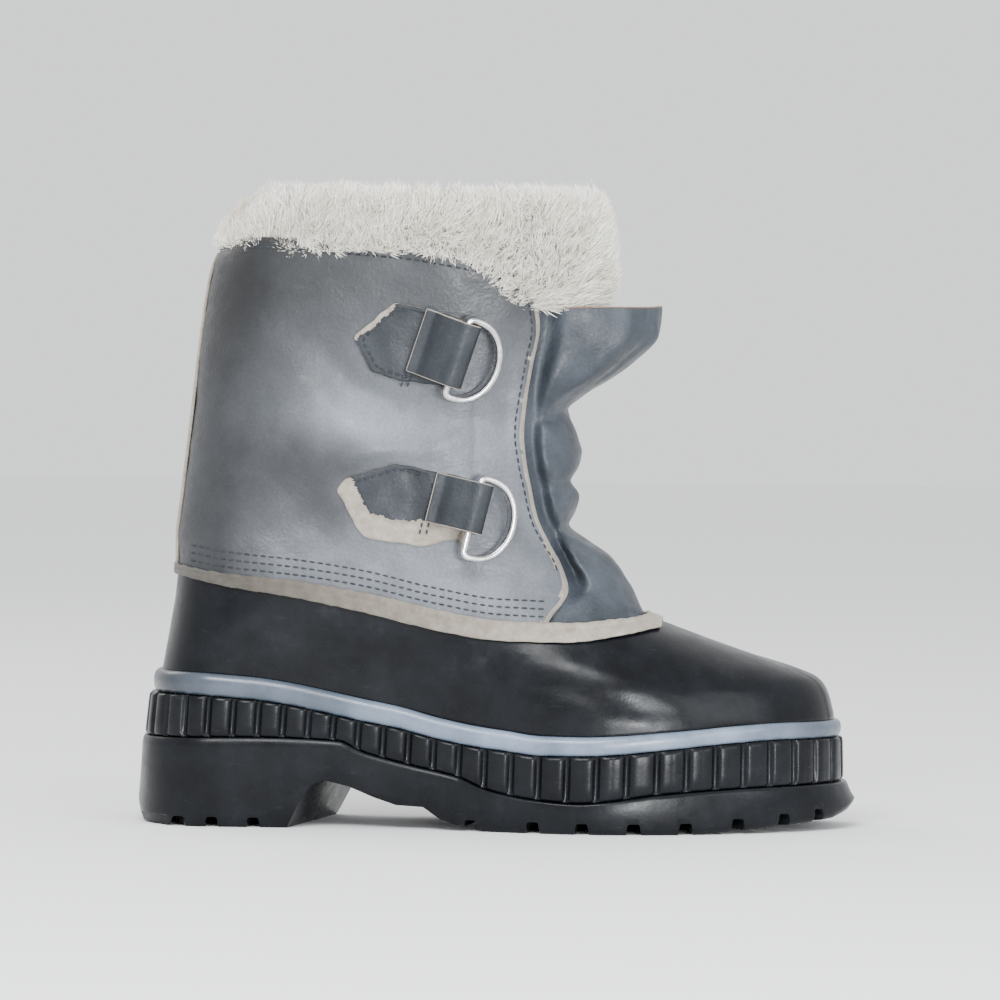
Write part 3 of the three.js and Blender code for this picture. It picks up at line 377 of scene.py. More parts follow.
# ---- Materials -------------------------------------------------------------
class Finish:
    """A small node-graph builder over one Principled material, in object space."""

    def __init__(self, name, base, rough, metal=0.0):
        self.mat = bpy.data.materials.new(name)
        self.mat.use_nodes = True
        self.nodes = self.mat.node_tree.nodes
        self.links = self.mat.node_tree.links
        self.shader = self.nodes["Principled BSDF"]
        self.shader.inputs["Base Color"].default_value = (*base, 1)
        self.shader.inputs["Roughness"].default_value = rough
        self.shader.inputs["Metallic"].default_value = metal
        self.coord = self.nodes.new("ShaderNodeTexCoord").outputs["Object"]
        self.height = None

    def mapped(self, stretch, turn=(0, 0, 0)):
        m = self.nodes.new("ShaderNodeMapping")
        m.inputs["Scale"].default_value = stretch
        m.inputs["Rotation"].default_value = turn
        self.links.new(self.coord, m.inputs["Vector"])
        return m.outputs["Vector"]

    def noise(self, scale, detail=4, rough=0.55, stretch=None, distort=0.0, turn=(0, 0, 0)):
        n = self.nodes.new("ShaderNodeTexNoise")
        n.inputs["Scale"].default_value = scale
        n.inputs["Detail"].default_value = detail
        n.inputs["Roughness"].default_value = rough
        n.inputs["Distortion"].default_value = distort
        self.links.new(self.coord if stretch is None else self.mapped(stretch, turn), n.inputs["Vector"])
        return n.outputs["Fac"]

    def cells(self, scale, feature="F1", smooth=0.6):
        v = self.nodes.new("ShaderNodeTexVoronoi")
        v.feature = feature
        v.inputs["Scale"].default_value = scale
        if feature == "SMOOTH_F1":
            v.inputs["Smoothness"].default_value = smooth
        self.links.new(self.coord, v.inputs["Vector"])
        return v.outputs["Distance"]

    def ramp(self, value, stops):
        r = self.nodes.new("ShaderNodeValToRGB")
        ramp = r.color_ramp
        while len(ramp.elements) < len(stops):
            ramp.elements.new(0.5)
        for e, (at, colour) in zip(ramp.elements, stops):
            e.position = at
            e.color = (*colour, 1) if len(colour) == 3 else (colour[0],) * 3 + (1,)
        self.links.new(value, r.inputs["Fac"])
        return r.outputs["Color"]

    def span(self, value, low, high, a, b):
        m = self.nodes.new("ShaderNodeMapRange")
        m.inputs["From Min"].default_value = low
        m.inputs["From Max"].default_value = high
        m.inputs["To Min"].default_value = a
        m.inputs["To Max"].default_value = b
        self.links.new(value, m.inputs["Value"])
        return m.outputs["Result"]

    def mix(self, fac, a, b, mode="MIX"):
        m = self.nodes.new("ShaderNodeMix")
        m.data_type = "RGBA"
        m.blend_type = mode
        for socket, value in ((m.inputs["Factor"], fac), (m.inputs[6], a), (m.inputs[7], b)):
            if isinstance(value, (int, float)):
                socket.default_value = value
            elif isinstance(value, tuple):
                socket.default_value = (*value, 1)
            else:
                self.links.new(value, socket)
        return m.outputs[2]

    def times(self, a, b):
        return self.mix(1.0, a, b, "MULTIPLY")

    def put(self, values):
        """Sets plain values on the shader's own sockets."""
        for name, value in values.items():
            self.shader.inputs[name].default_value = value

    def math(self, op, a, b):
        m = self.nodes.new("ShaderNodeMath")
        m.operation = op
        for socket, value in ((m.inputs[0], a), (m.inputs[1], b)):
            if isinstance(value, (int, float)):
                socket.default_value = value
            else:
                self.links.new(value, socket)
        return m.outputs[0]

    def axis(self, which):
        s = self.nodes.new("ShaderNodeSeparateXYZ")
        self.links.new(self.coord, s.inputs[0])
        return s.outputs[which]

    def oval(self, x, z, wide, tall, inside, outside):
        """A soft side-view oval in metres: one value inside, another outside."""
        u = self.math("DIVIDE", self.math("SUBTRACT", self.axis(0), x), wide)
        v = self.math("DIVIDE", self.math("SUBTRACT", self.axis(2), z), tall)
        far = self.math("ADD", self.math("MULTIPLY", u, u), self.math("MULTIPLY", v, v))
        cloud = self.math("MULTIPLY", self.math("SUBTRACT", self.noise(34, 4, 0.6), 0.5), 1.1)
        return self.span(self.math("ADD", far, cloud), 0.1, 1.25, inside, outside)

    def colour(self, value):
        self.links.new(value, self.shader.inputs["Base Color"])
        return self

    def roughness(self, value):
        self.links.new(value, self.shader.inputs["Roughness"])
        return self

    def bump(self, value, depth, strength=1.0):
        b = self.nodes.new("ShaderNodeBump")
        b.inputs["Distance"].default_value = depth
        b.inputs["Strength"].default_value = strength
        self.links.new(value, b.inputs["Height"])
        if self.height is not None:
            self.links.new(self.height, b.inputs["Normal"])
        self.height = b.outputs["Normal"]
        self.links.new(self.height, self.shader.inputs["Normal"])
        return self


def leather(name, dark, light, painted_shading=False, gloss=0.5):
    f = Finish(name, light, 0.5)
    broad = f.noise(22, 3)
    blotch = f.noise(90, 4, 0.6)
    tone = f.math("ADD", f.math("MULTIPLY", broad, 0.65), f.math("MULTIPLY", blotch, 0.35))
    base = f.ramp(tone, [(0.34, dark), (0.66, light)])
    speck = f.span(f.noise(1500, 2), 0.35, 0.7, 0.86, 1.06)
    grain = f.cells(820, "SMOOTH_F1", 0.8)
    pores = f.span(grain, 0.0, 0.6, 1.05, 0.88)
    base = f.times(f.times(base, speck), pores)
    if painted_shading:
        # Painted shade, not the hide's own colour: darker under the cuff and down the back.
        cloud = f.math("MULTIPLY", f.math("SUBTRACT", broad, 0.5), 0.045)
        tall = f.math("ADD", f.axis(2), cloud)
        long = f.math("ADD", f.axis(0), cloud)
        top = f.span(tall, 0.160, 0.210, 1.0, 0.24)
        back = f.span(long, -0.112, -0.050, 0.20, 1.0)
        base = f.times(f.times(base, top), back)
        # Painted shade and painted highlight: a dark soft patch low behind the rings where a hollow lies in
        # shade, and a pale painted highlight above it.
        base = f.times(base, f.oval(-0.078, 0.136, 0.038, 0.027, 0.34, 1.0))
        base = f.times(base, f.oval(-0.058, 0.163, 0.026, 0.013, 1.5, 1.0))
    f.colour(base)
    f.roughness(f.span(f.noise(240, 3), 0.3, 0.7, 0.36, 0.52))
    f.put({"Specular IOR Level": gloss})
    f.bump(grain, 0.00016, 0.55)
    f.bump(f.noise(420, 4, 0.6), 0.00022, 0.5)
    f.bump(f.noise(120, 3, 0.5, stretch=(1, 1, 2.4), distort=0.6), 0.0006, 0.35)
    return f.mat


def black_rubber(name):
    f = Finish(name, (0.006, 0.0065, 0.008), 0.34)
    dust = f.noise(60, 5, 0.62)
    stops = [(0.35, (0.0022, 0.0026, 0.0036)), (0.62, (0.0055, 0.0064, 0.0082)),
             (0.80, (0.014, 0.016, 0.020))]
    tone = f.ramp(dust, stops)
    scuff = f.span(f.noise(150, 6, 0.7, stretch=(0.5, 1, 3.2), turn=(0, 0.5, 0)), 0.62, 0.80, 0, 0.4)
    f.colour(f.mix(scuff, tone, (0.045, 0.047, 0.052)))
    f.roughness(f.span(f.noise(110, 5, 0.65), 0.3, 0.75, 0.20, 0.38))
    f.put({"Specular IOR Level": 0.17})
    f.bump(f.noise(900, 3, 0.5), 0.00006, 0.5)
    f.bump(f.noise(70, 3, 0.5), 0.0007, 0.25)
    return f.mat


def band_rubber(name):
    # The band is black rubber; its blue-grey base colour is a painted reflection of the light from above on
    # its glossy top, with real rub marks mixed in.
    f = Finish(name, (0.19, 0.23, 0.31), 0.3)
    tone = f.ramp(f.noise(40, 4, 0.6), [(0.35, (0.105, 0.135, 0.185)), (0.65, (0.205, 0.255, 0.335))])
    rub = f.span(f.noise(260, 5, 0.7, stretch=(0.35, 1, 2)), 0.60, 0.80, 0, 0.45)
    painted_sheen_and_rubs = f.mix(rub, tone, (0.09, 0.10, 0.125))
    # Painted shade: the painted reflection fades darker towards the heel and towards the toe.
    heel = f.span(f.axis(0), -0.135, 0.02, 0.15, 0.95)
    toe = f.span(f.axis(0), 0.085, 0.125, 1.0, 0.5)
    f.colour(f.times(f.times(painted_sheen_and_rubs, heel), toe))
    f.roughness(f.span(f.noise(130, 5, 0.6), 0.3, 0.75, 0.20, 0.40))
    f.bump(f.noise(800, 3, 0.5), 0.00005, 0.5)
    f.bump(f.noise(60, 2, 0.5), 0.0005, 0.25)
    return f.mat


def raw_edge(name, dull=1.0):
    """Raw hide edge; dull is how dark it is towards the heel."""
    f = Finish(name, (0.36, 0.31, 0.25), 0.9)
    stops = [(0.3, (0.20, 0.168, 0.135)), (0.55, (0.285, 0.248, 0.205)), (0.8, (0.40, 0.365, 0.315))]
    tone = f.ramp(f.noise(230, 5, 0.7), stops)
    if dull < 1:
        tone = f.times(tone, f.span(f.axis(0), -0.10, 0.035, dull, 1.0))
    f.colour(tone)
    f.bump(f.noise(1300, 5, 0.7), 0.00014, 0.7)
    f.put({"Sheen Weight": 0.15})
    return f.mat


def pile(name, dark, light):
    f = Finish(name, light, 0.85)
    tone = f.ramp(f.noise(55, 4, 0.6), [(0.32, dark), (0.62, light)])
    fleck = f.span(f.noise(900, 3), 0.3, 0.7, 0.88, 1.05)
    f.colour(f.times(tone, fleck))
    f.put({"Sheen Weight": 0.5, "Sheen Roughness": 0.5, "Subsurface Weight": 0.12, "Specular IOR Level": 0.2,
           "Subsurface Radius": (0.004, 0.003, 0.002)})
    f.bump(f.noise(700, 4, 0.7), 0.0006, 0.6)
    return f.mat


def nickel(name):
    f = Finish(name, (0.55, 0.55, 0.56), 0.2, 1.0)
    f.colour(f.ramp(f.noise(300, 4, 0.6), [(0.3, (0.36, 0.35, 0.35)), (0.7, (0.64, 0.64, 0.65))]))
    f.roughness(f.span(f.noise(700, 5, 0.6), 0.3, 0.75, 0.14, 0.34))
    f.bump(f.noise(1500, 3, 0.5, stretch=(1, 1, 0.15)), 0.00004, 0.5)
    return f.mat


# The grey leather carries painted shade and a painted highlight.
LEATHER = leather("grey_leather", (0.088, 0.096, 0.111), (0.151, 0.163, 0.185), painted_shading=True)
# The tongue and patch leathers are much darker copies of the grey leather: their extra darkness is painted
# shade of the tongue's deep folds and of the shaded patch panels.
TONGUE_LEATHER = leather("tongue_leather", (0.020, 0.025, 0.032), (0.056, 0.065, 0.080), gloss=0.32)
PATCH_LEATHER = leather("patch_leather", (0.017, 0.020, 0.024), (0.038, 0.043, 0.050), gloss=0.22)
RUBBER = black_rubber("black_rubber")
BAND_PAINTED_SHEEN = band_rubber("blue_grey_rubber")
EDGE = raw_edge("beige_edge")
STRIP_EDGE = raw_edge("beige_joint_strip", 0.22)
PILE = pile("cream_pile", (0.76, 0.69, 0.56), (0.93, 0.885, 0.78))
PILE_TIP = pile("cream_pile_tips", (0.92, 0.875, 0.77), (0.985, 0.965, 0.90))
FLEECE = pile("fleece_lining", (0.46, 0.42, 0.35), (0.66, 0.61, 0.53))
FELT = pile("grey_felt", (0.30, 0.28, 0.24), (0.46, 0.43, 0.38))
NICKEL = nickel("nickel")


def thread_finish(name, dark, light):
    f = Finish(name, light, 0.8)
    f.colour(f.ramp(f.noise(500, 3), [(0.3, dark), (0.7, light)]))
    f.bump(f.noise(2500, 2, 0.5, stretch=(1, 1, 0.4)), 0.0001, 0.8)
    f.put({"Specular IOR Level": 0.15})
    return f.mat


THREAD = thread_finish("grey_thread", (0.018, 0.020, 0.024), (0.045, 0.050, 0.058))
LINING_EDGE = thread_finish("brown_lining", (0.14, 0.075, 0.055), (0.24, 0.14, 0.10))

# ---- Shaft: two leather quarters in one curved sheet ------------------------
# Front edge and top line in side view; the sheet's corner is on the rounded shoulder.
QUARTER_X = np.array([
    (84, 167), (88, 169.5), (91, 172.2), (97, 175.0), (105, 172.7), (114.5, 167.4), (125, 162.5), (136, 160),
    (146, 158), (157.5, 156.8), (171, 157.8), (184.7, 160), (200.6, 162.8), (210, 161.6), (215.5, 159),
], float)
TOP_Z = np.array([
    (0, 233), (36.5, 234.6), (54, 235), (81, 233), (108, 231), (128, 228), (142, 225), (152.5, 220.6),
    (159, 215.5),
], float)
# Troughs (below zero) and swells of the leather.
SHAFT_CREASES = [
    ([(28, 128), (48, 122), (72, 124), (96, 114)], 11, -1.9),
    ([(60, 150), (84, 146), (112, 134), (132, 126)], 10, 1.3),
    ([(58, 172), (82, 164), (110, 158), (140, 152)], 12, 1.0),
    ([(96, 166), (120, 164), (144, 160), (157, 166)], 7, -1.2),
    ([(140, 182), (150, 172), (152, 156), (158, 146)], 5, -0.8),
    ([(34, 206), (52, 196), (70, 178)], 13, 0.9),
    ([(26, 150), (40, 160), (52, 178)], 9, -1.0),
    ([(58, 104), (84, 100), (112, 96), (138, 94)], 6, 0.6),
    ([(118, 110), (136, 102), (152, 100)], 6, -0.9),
    ([(146, 118), (156, 108), (166, 100)], 5, 0.9),
    ([(44, 222), (84, 219), (120, 215)], 7, -0.5),
    ([(62, 182), (76, 168), (96, 152), (128, 132)], 8, 1.5),
    ([(70, 196), (92, 176), (112, 168)], 9, -1.5),
    ([(44, 146), (58, 140), (80, 132)], 8, -1.1),
]


def off_patches(x, z):
    """1 on open leather, near 0 under the two ring patches."""
    upper = np.hypot((x - 109) / 27, (z - 193) / 19)
    lower = np.hypot((x - 110) / 32, (z - 129.5) / 19)
    return ease((np.minimum(upper, lower) - 0.82) / 0.4)


def shaft_creases(x, z, side):
    """How far the leather stands out of the last, in millimetres."""
    h = 1.3 * creases(x, z, SHAFT_CREASES)
    h = h + 0.5 * wavy(x + 7 * side, z, 46, 5) + 0.2 * wavy(x - 11 * side, z, 17, 8)
    return h * (0.12 + 0.88 * off_patches(x, z))


def quarter_low(x):
    """Lower edge of the leather, hidden under the strip."""
    return shell_top(x) + 0.5 * trim_tall(x) + 0.2


def quarter_rise(x, z, side):
    """The creases, eased off towards the edges, and the turned front edge's swell."""
    edge_gap = read(QUARTER_X, z) - x
    h = shaft_creases(x, z, side) * ease(edge_gap / 10 + 0.25) * ease((z - quarter_low(x)) / 12 + 0.2)
    return h + 0.5 * np.exp(-((edge_gap - 4) / 3) ** 2)


def raw_wide(z):
    """Width of the raw bevel along the quarters' front edge, torn wider near its foot."""
    z = np.asarray(z, float)
    return 2.7 + 0.35 * np.sin(z * 0.41) + 0.25 * np.sin(z * 1.07 + 1) + 1.9 * np.exp(-((z - 108) / 8) ** 2)


BACK_SHARE = 0.46  # share of each side's columns that go round the rounded back


def build_shaft():
    cols, rows = 250, 90
    t = np.linspace(-1, 1, cols)
    # t: -1 outer front edge, 0 back seam, 1 inner front edge
    s = np.abs(t)
    side = np.where(t < 0, -1.0, 1.0)
    v = np.linspace(0, 1, rows)[:, None]
    z = 90 + v * 130 + 0 * s
    # The edges' heights depend on x and x on the height, so both settle together.
    for _ in range(14):
        row = level(z)
        edge = read(QUARTER_X, z)
        a = np.clip(s / BACK_SHARE, 0, 1) * math.pi / 2
        x_back = row["heel_x"] - (row["heel_x"] - row["back"]) * np.cos(a) ** (2 / BACK_ROUND)
        x_fwd = row["heel_x"] + np.clip((s - BACK_SHARE) / (1 - BACK_SHARE), 0, 1) * (edge - row["heel_x"])
        x = np.where(s < BACK_SHARE, x_back, x_fwd)
        low, high = quarter_low(x), read(TOP_Z, x)
        z = 0.5 * z + 0.5 * (low + (high - low) * v)
    row = level(z)
    back_y = np.where(s < BACK_SHARE, row["heel"] * np.abs(np.sin(a)) ** (2 / BACK_ROUND), half_width(row, x))
    y = row["bend"] * read(CENTRE, x) + side * back_y
    p = np.stack([x, y, z], -1)
    n = grid_normals(p, False)
    if np.mean(n[:, cols // 4, 1]) > 0:
        n = -n
    edge_gap = read(QUARTER_X, z) - x
    h = quarter_rise(x, z, side)
    h = h - 1.5 * np.clip(1 - edge_gap / raw_wide(z), 0, 1)
    h = h - 0.45 * np.exp(-((x - 137) / 1.0) ** 2) * (z > 142) * (z < 172) * (s > BACK_SHARE)
    seam = np.exp(-(y / 1.3) ** 2) * (x < 60)
    p = p + n * (h - 0.5 * seam)[..., None]
    return p, n


shaft_p, _ = oriented(*build_shaft(), closed=False)
pts, faces, kinds = thick_sheet(shaft_p, SHAFT_WALL - 0.3, False, rim=6, bulge=0.3)
mid_face = pts[faces].mean(1)
from_edge = read(QUARTER_X, mid_face[:, 2]) - mid_face[:, 0]
bevel = (kinds == 0) & (mid_face[:, 0] > 120) & (from_edge < raw_wide(mid_face[:, 2]) * 0.92)
kinds = np.where(bevel, 1, kinds)
add_mesh("leather_shaft", pts, faces, [LEATHER, EDGE, FLEECE], kinds, node="shaft")


# ---- Shell and strip: columns that climb the last from the band -------------
def climb(inside, n=260, z_low=30.0, z_high=118.0):
    """For each column round the last, the height where it leaves the region."""
    zs = np.linspace(z_low, z_high, 900)
    ring = closed_ring(level(zs), n)
    ok = inside(ring[..., 0], zs[:, None] + 0 * ring[..., 0])
    last = np.array([np.max(np.nonzero(ok[:, i])[0]) if ok[:, i].any() else 0 for i in range(ring.shape[1])])
    return zs, ring, last


def columns(n, start_inside, end_inside, rows, out, z_low=30.0, z_high=118.0):
    """Grid between two regions' edges, spaced evenly along each column."""
    zs, ring, top = climb(end_inside, n, z_low, z_high)
    _, _, bottom = climb(start_inside, n, z_low, z_high)
    count = ring.shape[1]

    def soften(a):
        a = a.astype(float)
        for _ in range(8):
            a = 0.25 * np.roll(a, 1) + 0.5 * a + 0.25 * np.roll(a, -1)
        return a

    top, bottom = soften(top), soften(bottom)
    grid = np.zeros((rows, count, 3))
    for i in range(count):
        line = np.column_stack([ring[:, i, :], zs])
        step = steps_along(line)
        idx = np.arange(len(zs))
        s0, s1 = np.interp(bottom[i], idx, step), np.interp(top[i], idx, step)
        s = np.linspace(s0, s1, rows)
        for c in range(3):
            grid[:, i, c] = np.interp(s, step, line[:, c])
    for _ in range(2):
        grid = 0.25 * np.roll(grid, 1, 1) + 0.5 * grid + 0.25 * np.roll(grid, -1, 1)
    n_out = grid_normals(grid, True)
    centre = np.array([120.0, 0, 60])
    if np.mean(np.einsum("ijk,ijk->ij", n_out, grid - centre)) < 0:
        n_out = -n_out
    return grid + n_out * np.asarray(out)[..., None], n_out


def below_band(x, z):
    return z < band_top(x) + 0.35


def below_joint(x, z):
    side = z < shell_top(x) + 0.5 * trim_tall(x) - 0.2
    return np.where(x > THROAT_X + 1, True, side & (x < THROAT_X + 1)) & (z < 104)


def below_strip(x, z):
    return np.where(x > THROAT_X + 0.9, True, z < shell_top(x)) & (z < 104)


def strip_top(x, z):
    return np.where(x > THROAT_X - 4.8, True, z < shell_top(x) + trim_tall(x)) & (z < 110)


SHELL_CREASES = [
    ([(150, 62), (172, 58), (196, 52), (214, 48)], 4.5, -0.55),
    ([(158, 70), (182, 66), (206, 58), (226, 50)], 5, 0.6),
    ([(178, 74), (198, 70), (220, 62), (238, 54)], 4.5, -0.5),
    ([(214, 80), (232, 72), (252, 64)], 6, -0.5),
    ([(60, 76), (90, 72), (120, 62)], 9, -0.7),
    ([(16, 80), (40, 80), (60, 86)], 8, 0.5),
]
shell_p, shell_n = columns(150, below_band, below_joint, 70, 0.0)
gx, gz = shell_p[..., 0], shell_p[..., 2]
side_of = np.where(shell_p[..., 1] < 0, -1.0, 1.0)
flex = creases(gx, gz, SHELL_CREASES) + 0.22 * wavy(gx, gz + 9 * side_of, 40, 21)
shell_p = shell_p + shell_n * (flex - 0.15)[..., None]
shell_p, shell_n = oriented(shell_p, shell_n)
pts, faces, kinds = thick_sheet(shell_p, SHELL_WALL - 0.3, True, rim=5)
add_mesh("rubber_shell", pts, faces, [RUBBER, RUBBER, FLEECE], kinds, node="shell")

strip_p, strip_n = columns(200, below_strip, strip_top, 12, TRIM_OUT)
along = np.arange(strip_p.shape[1])
fray = 0.10 * np.sin(along * 0.9) + 0.16 * np.sin(along * 0.13 + 1) + RNG.normal(0, 0.05, len(along))
strip_p[-1, :, 2] += fray
strip_p[0, :, 2] += fray[::-1] * 0.7
across = np.linspace(-1, 1, strip_p.shape[0])[:, None]
swell = 0.25 * (1 - across**4) - 0.35 * np.exp(-((across - 0.25) / 0.16) ** 2)
strip_p = strip_p + strip_n * swell[..., None]
strip_p, strip_n = oriented(strip_p, strip_n)
pts, faces, kinds = thick_sheet(strip_p, 1.0, True, rim=4)
add_mesh("joint_strip", pts, faces, [STRIP_EDGE], node="shell_trim")


# ---- Back seam strip --------------------------------------------------------
def build_back_strip():
    rows, cols = 160, 17
    z = np.linspace(103.5, 229, rows)[:, None] + np.zeros(cols)
    u = np.linspace(-1, 1, cols)[None, :] + np.zeros((rows, 1))
    wide = BACK_STRIP_WIDE / 2 * (1 + 0.008 * np.sin(z * 0.21) + 0.005 * np.sin(z * 0.9 + 1))
    y = u * wide
    row = level(z)
    reach = (1 - (np.abs(y) / row["heel"]) ** BACK_ROUND) ** (1 / BACK_ROUND)
    x = row["heel_x"] - (row["heel_x"] - row["back"]) * reach
    rise = 1.15 - 0.35 * u**4 - 0.3 * np.exp(-((np.abs(u) - 0.6) / 0.12) ** 2)
    p = np.stack([x - rise, y, z], -1)
    n = grid_normals(p, False)
    if np.mean(n[..., 0]) > 0:
        p = p[:, ::-1]
    return thick_sheet(p, 0.9, False, rim=4)


pts, faces, kinds = build_back_strip()
add_mesh("back_seam_strip", pts, faces, [EDGE], node="back_strip")

# ---- Sole layers ------------------------------------------------------------
BAND_BEAD = np.array([
    (0, -1.6), (0.05, -0.9), (0.12, -0.42), (0.22, -0.12), (0.36, 0.06), (0.52, 0.1), (0.66, 0.02),
    (0.78, -0.22), (0.88, -0.62), (0.95, -1.15), (1.0, -2.0),
], float)


def grown(row, d):
    """The outline moved out by d."""
    signs = {"heel": 1, "waist": 1, "ball": 1, "front": 1, "back": -1}
    return {k: v + d * signs.get(k, 0) for k, v in row.items()}


def mixed(a, b, t):
    return {k: a[k] + (b[k] - a[k]) * t for k in a}


def cap_faces(idx, up):
    """Strips across the boot that close one ring of points."""
    n = len(idx)
    half = n // 2
    out = []
    for i in range(half):
        a, b = idx[i], idx[i + 1]
        c, d = idx[(n - i - 1) % n], idx[(n - i) % n]
        if i == 0:
            f = (a, b, c)
        elif i == half - 1:
            f = (a, b, d)
        else:
            f = (a, b, c, d)
        out.append(f if up else f[::-1])
    return out


def layer_mesh(rings, low, high, rises):
    """Points and faces of a layer from outline rings and two height functions."""
    pts, faces = [], []
    n = len(rings[0])
    for ring, rise in zip(rings, rises):
        z0, z1 = low(ring[:, 0]), high(ring[:, 0])
        pts.append(np.column_stack([ring, z0 + (z1 - z0) * rise]))
    for k in range(len(rings) - 1):
        for i in range(n):
            j = (i + 1) % n
            faces.append((k * n + i, k * n + j, (k + 1) * n + j, (k + 1) * n + i))
    last = (len(rings) - 1) * n
    faces += cap_faces(list(range(n)), False) + cap_faces(list(range(last, last + n)), True)
    return np.concatenate(pts), faces


rises = BAND_BEAD[:, 0]
rings = [closed_ring(grown(SOLE_BAND, out), 240) for out in BAND_BEAD[:, 1]]
pts, faces = layer_mesh(rings, lambda x: band_low(x) + 0.18, band_top, rises)
add_mesh("smooth_band", pts, faces, [BAND_PAINTED_SHEEN], node="welt_band", angle=60)


FIRST_GROOVE = 4.9  # from the heel's rearmost point, along the outline
END_BLOCK = 6
RIB_PITCH = 9.8
TOE_PITCH_MORE = 2.2
GROOVE_HALF = 1.3


def fluted_ring(row, deep, n=1900):
    """Outline with upright ribs: wide blocks, narrow rounded grooves."""
    count = 700
    side = closed_ring(row, count)[:count]
    s = steps_along(side)
    total = s[-1]
    marks, at = [], FIRST_GROOVE
    while at < total - 3.6:
        marks.append(at)
        at += RIB_PITCH + TOE_PITCH_MORE * float(ease((at / total - 0.35) / 0.3))
    span = marks[-1] + END_BLOCK - FIRST_GROOVE
    marks = FIRST_GROOVE + (np.array(marks) - FIRST_GROOVE) * (total - FIRST_GROOVE) / span
    u = np.linspace(0, total, n // 2)
    x, y = np.interp(u, s, side[:, 0]), np.interp(u, s, side[:, 1])
    d = np.min(np.abs(u[:, None] - marks[None, :]), axis=1)
    groove = 1 / (1 + (d / GROOVE_HALF) ** 4)
    crown = 0.55 * np.cos(np.clip(d - 5, -5, 5) / 5 * math.pi / 2)
    tx, ty = np.gradient(x), np.gradient(y)
    length = np.hypot(tx, ty)
    inset = deep * groove - crown * (deep > 0.1)
    px, py = x - ty / length * inset, y + tx / length * inset
    bend = row["bend"] * read(CENTRE, px)
    outer = np.column_stack([px, py])
    inner = np.column_stack([px, 2 * bend - py])[1:-1][::-1]
    return np.concatenate([outer, inner])


def flute_low(x):
    return read(FLUTE_LOW, x)


rib_rows = [(0.0, -0.9, 0.2), (0.03, -0.35, 0.9), (0.08, -0.05, 1.4), (0.3, 0.0, 1.6), (0.7, 0.0, 1.6),
            (0.9, 0.0, 1.5), (0.965, -0.15, 1.2), (1.0, -0.7, 0.5)]
rings = [fluted_ring(grown(mixed(SOLE_SIDE, SOLE_BAND, 0.6 * rise), out), deep)
         for rise, out, deep in rib_rows]
rises = [rise for rise, _, _ in rib_rows]
pts, faces = layer_mesh(rings, lambda x: flute_low(x) + 0.35, lambda x: band_low(x) - 0.18, rises)
add_mesh("fluted_sidewall", pts, faces, [RUBBER], node="midsole", angle=50)

# Tread layer with its heel, arch and lug channels.
UNDER = np.array([
    (-5, 9), (0.8, 5.6), (2.4, 2.7), (4.5, 0.8), (8, 0), (222, 0), (236, 0.8), (250, 2), (271, 3.8), (281, 5),
    (287, 7.6), (292, 12),
], float)
ARCH = [
    (64, -8), (64, 0), (70.5, 12.5), (74, 17.5), (79, 19.5), (89, 17), (99, 12.8), (108, 9.8),
    (119, 9.2), (126, 4.4), (137, 1.4), (149, 0), (149, -8),
]
BREAST_SLANT = 0.2


def underside(x):
    return np.interp(x, UNDER[:, 0], UNDER[:, 1])


tread_rows = [(0.0, -1.5, 0.0), (0.035, -0.9, 0.0), (0.09, -0.25, 0.02), (0.16, 0.0, 0.05), (0.5, 0.35, 0.4),
              (0.9, 0.85, 0.78), (0.965, 0.65, 0.84), (1.0, 0.0, 0.85)]
rings = [closed_ring(grown(mixed(SOLE_TREAD, SOLE_SIDE, turn), out), 130) for _, out, turn in tread_rows]
pts, faces = layer_mesh(rings, underside, lambda x: flute_low(x) - 0.18, [r[0] for r in tread_rows])
tread = add_mesh("lugged_outsole", pts, faces, [RUBBER], node="outsole")


def prism(name, outline, depth, place):
    """Closed cutter: an outline in its own plane, thickened, then placed."""
    n = len(outline)
    low = [place(np.array([u, -depth / 2, v])) for u, v in outline]
    high = [place(np.array([u, depth / 2, v])) for u, v in outline]
    faces = [tuple(range(n))[::-1], tuple(range(n, 2 * n))]
    faces += [(i, (i + 1) % n, n + (i + 1) % n, n + i) for i in range(n)]
    mesh = bpy.data.meshes.new(name)
    mesh.from_pydata(((np.array(low + high) + SHIFT) * MM).tolist(), [], faces)
    bm = bmesh.new()
    bm.from_mesh(mesh)
    bmesh.ops.recalc_face_normals(bm, faces=bm.faces)
    bm.to_mesh(mesh)
    bm.free()
    obj = bpy.data.objects.new(name, mesh)
    bpy.context.scene.collection.objects.link(obj)
    return obj


def lug_outline(wide, deep):
    """Channel section with drafted walls, open below."""
    h = wide / 2
    left = [(-h - 1.4, -12), (-h - 0.5, 0), (-h + 0.2, deep - 0.5), (-h + 0.8, deep)]
    return left + [(-u, v) for u, v in reversed(left)]


# Position along the boot, width, depth and slant in degrees.
SIDE_CHANNELS = [
    (7, 5, 4.2, 34), (20, 4.6, 4, 16), (33.5, 4.6, 4, 4), (50, 4.8, 4, -6), (137, 4.6, 4.6, -8),
    (162, 5, 4.6, -8), (181.5, 5, 4.4, -4), (202, 5.2, 4.4, 0), (222.5, 5.2, 4.6, 8), (243, 5.2, 4.8, 20),
    (261, 5, 4.8, 36), (275, 4.6, 4.8, 56),
]
# Position along the boot and length across it.
CENTRE_CHANNELS = [(153, 42), (172, 46), (192, 48), (212, 46), (232, 42), (252, 34)]


def side_place(cx, cy, turn, base):
    """Sets a channel at (cx, cy), turned about the vertical."""
    c, s = math.cos(turn), math.sin(turn)
    return lambda p: np.array([cx + c * p[0] - s * p[1], cy + s * p[0] + c * p[1], base + p[2]])


def centre_place(cx, cy, base):
    """Sets a channel across the middle, swept back at both ends."""
    return lambda p: np.array([cx + p[0] + 0.12 * abs(p[1]), cy + p[1], base + p[2]])


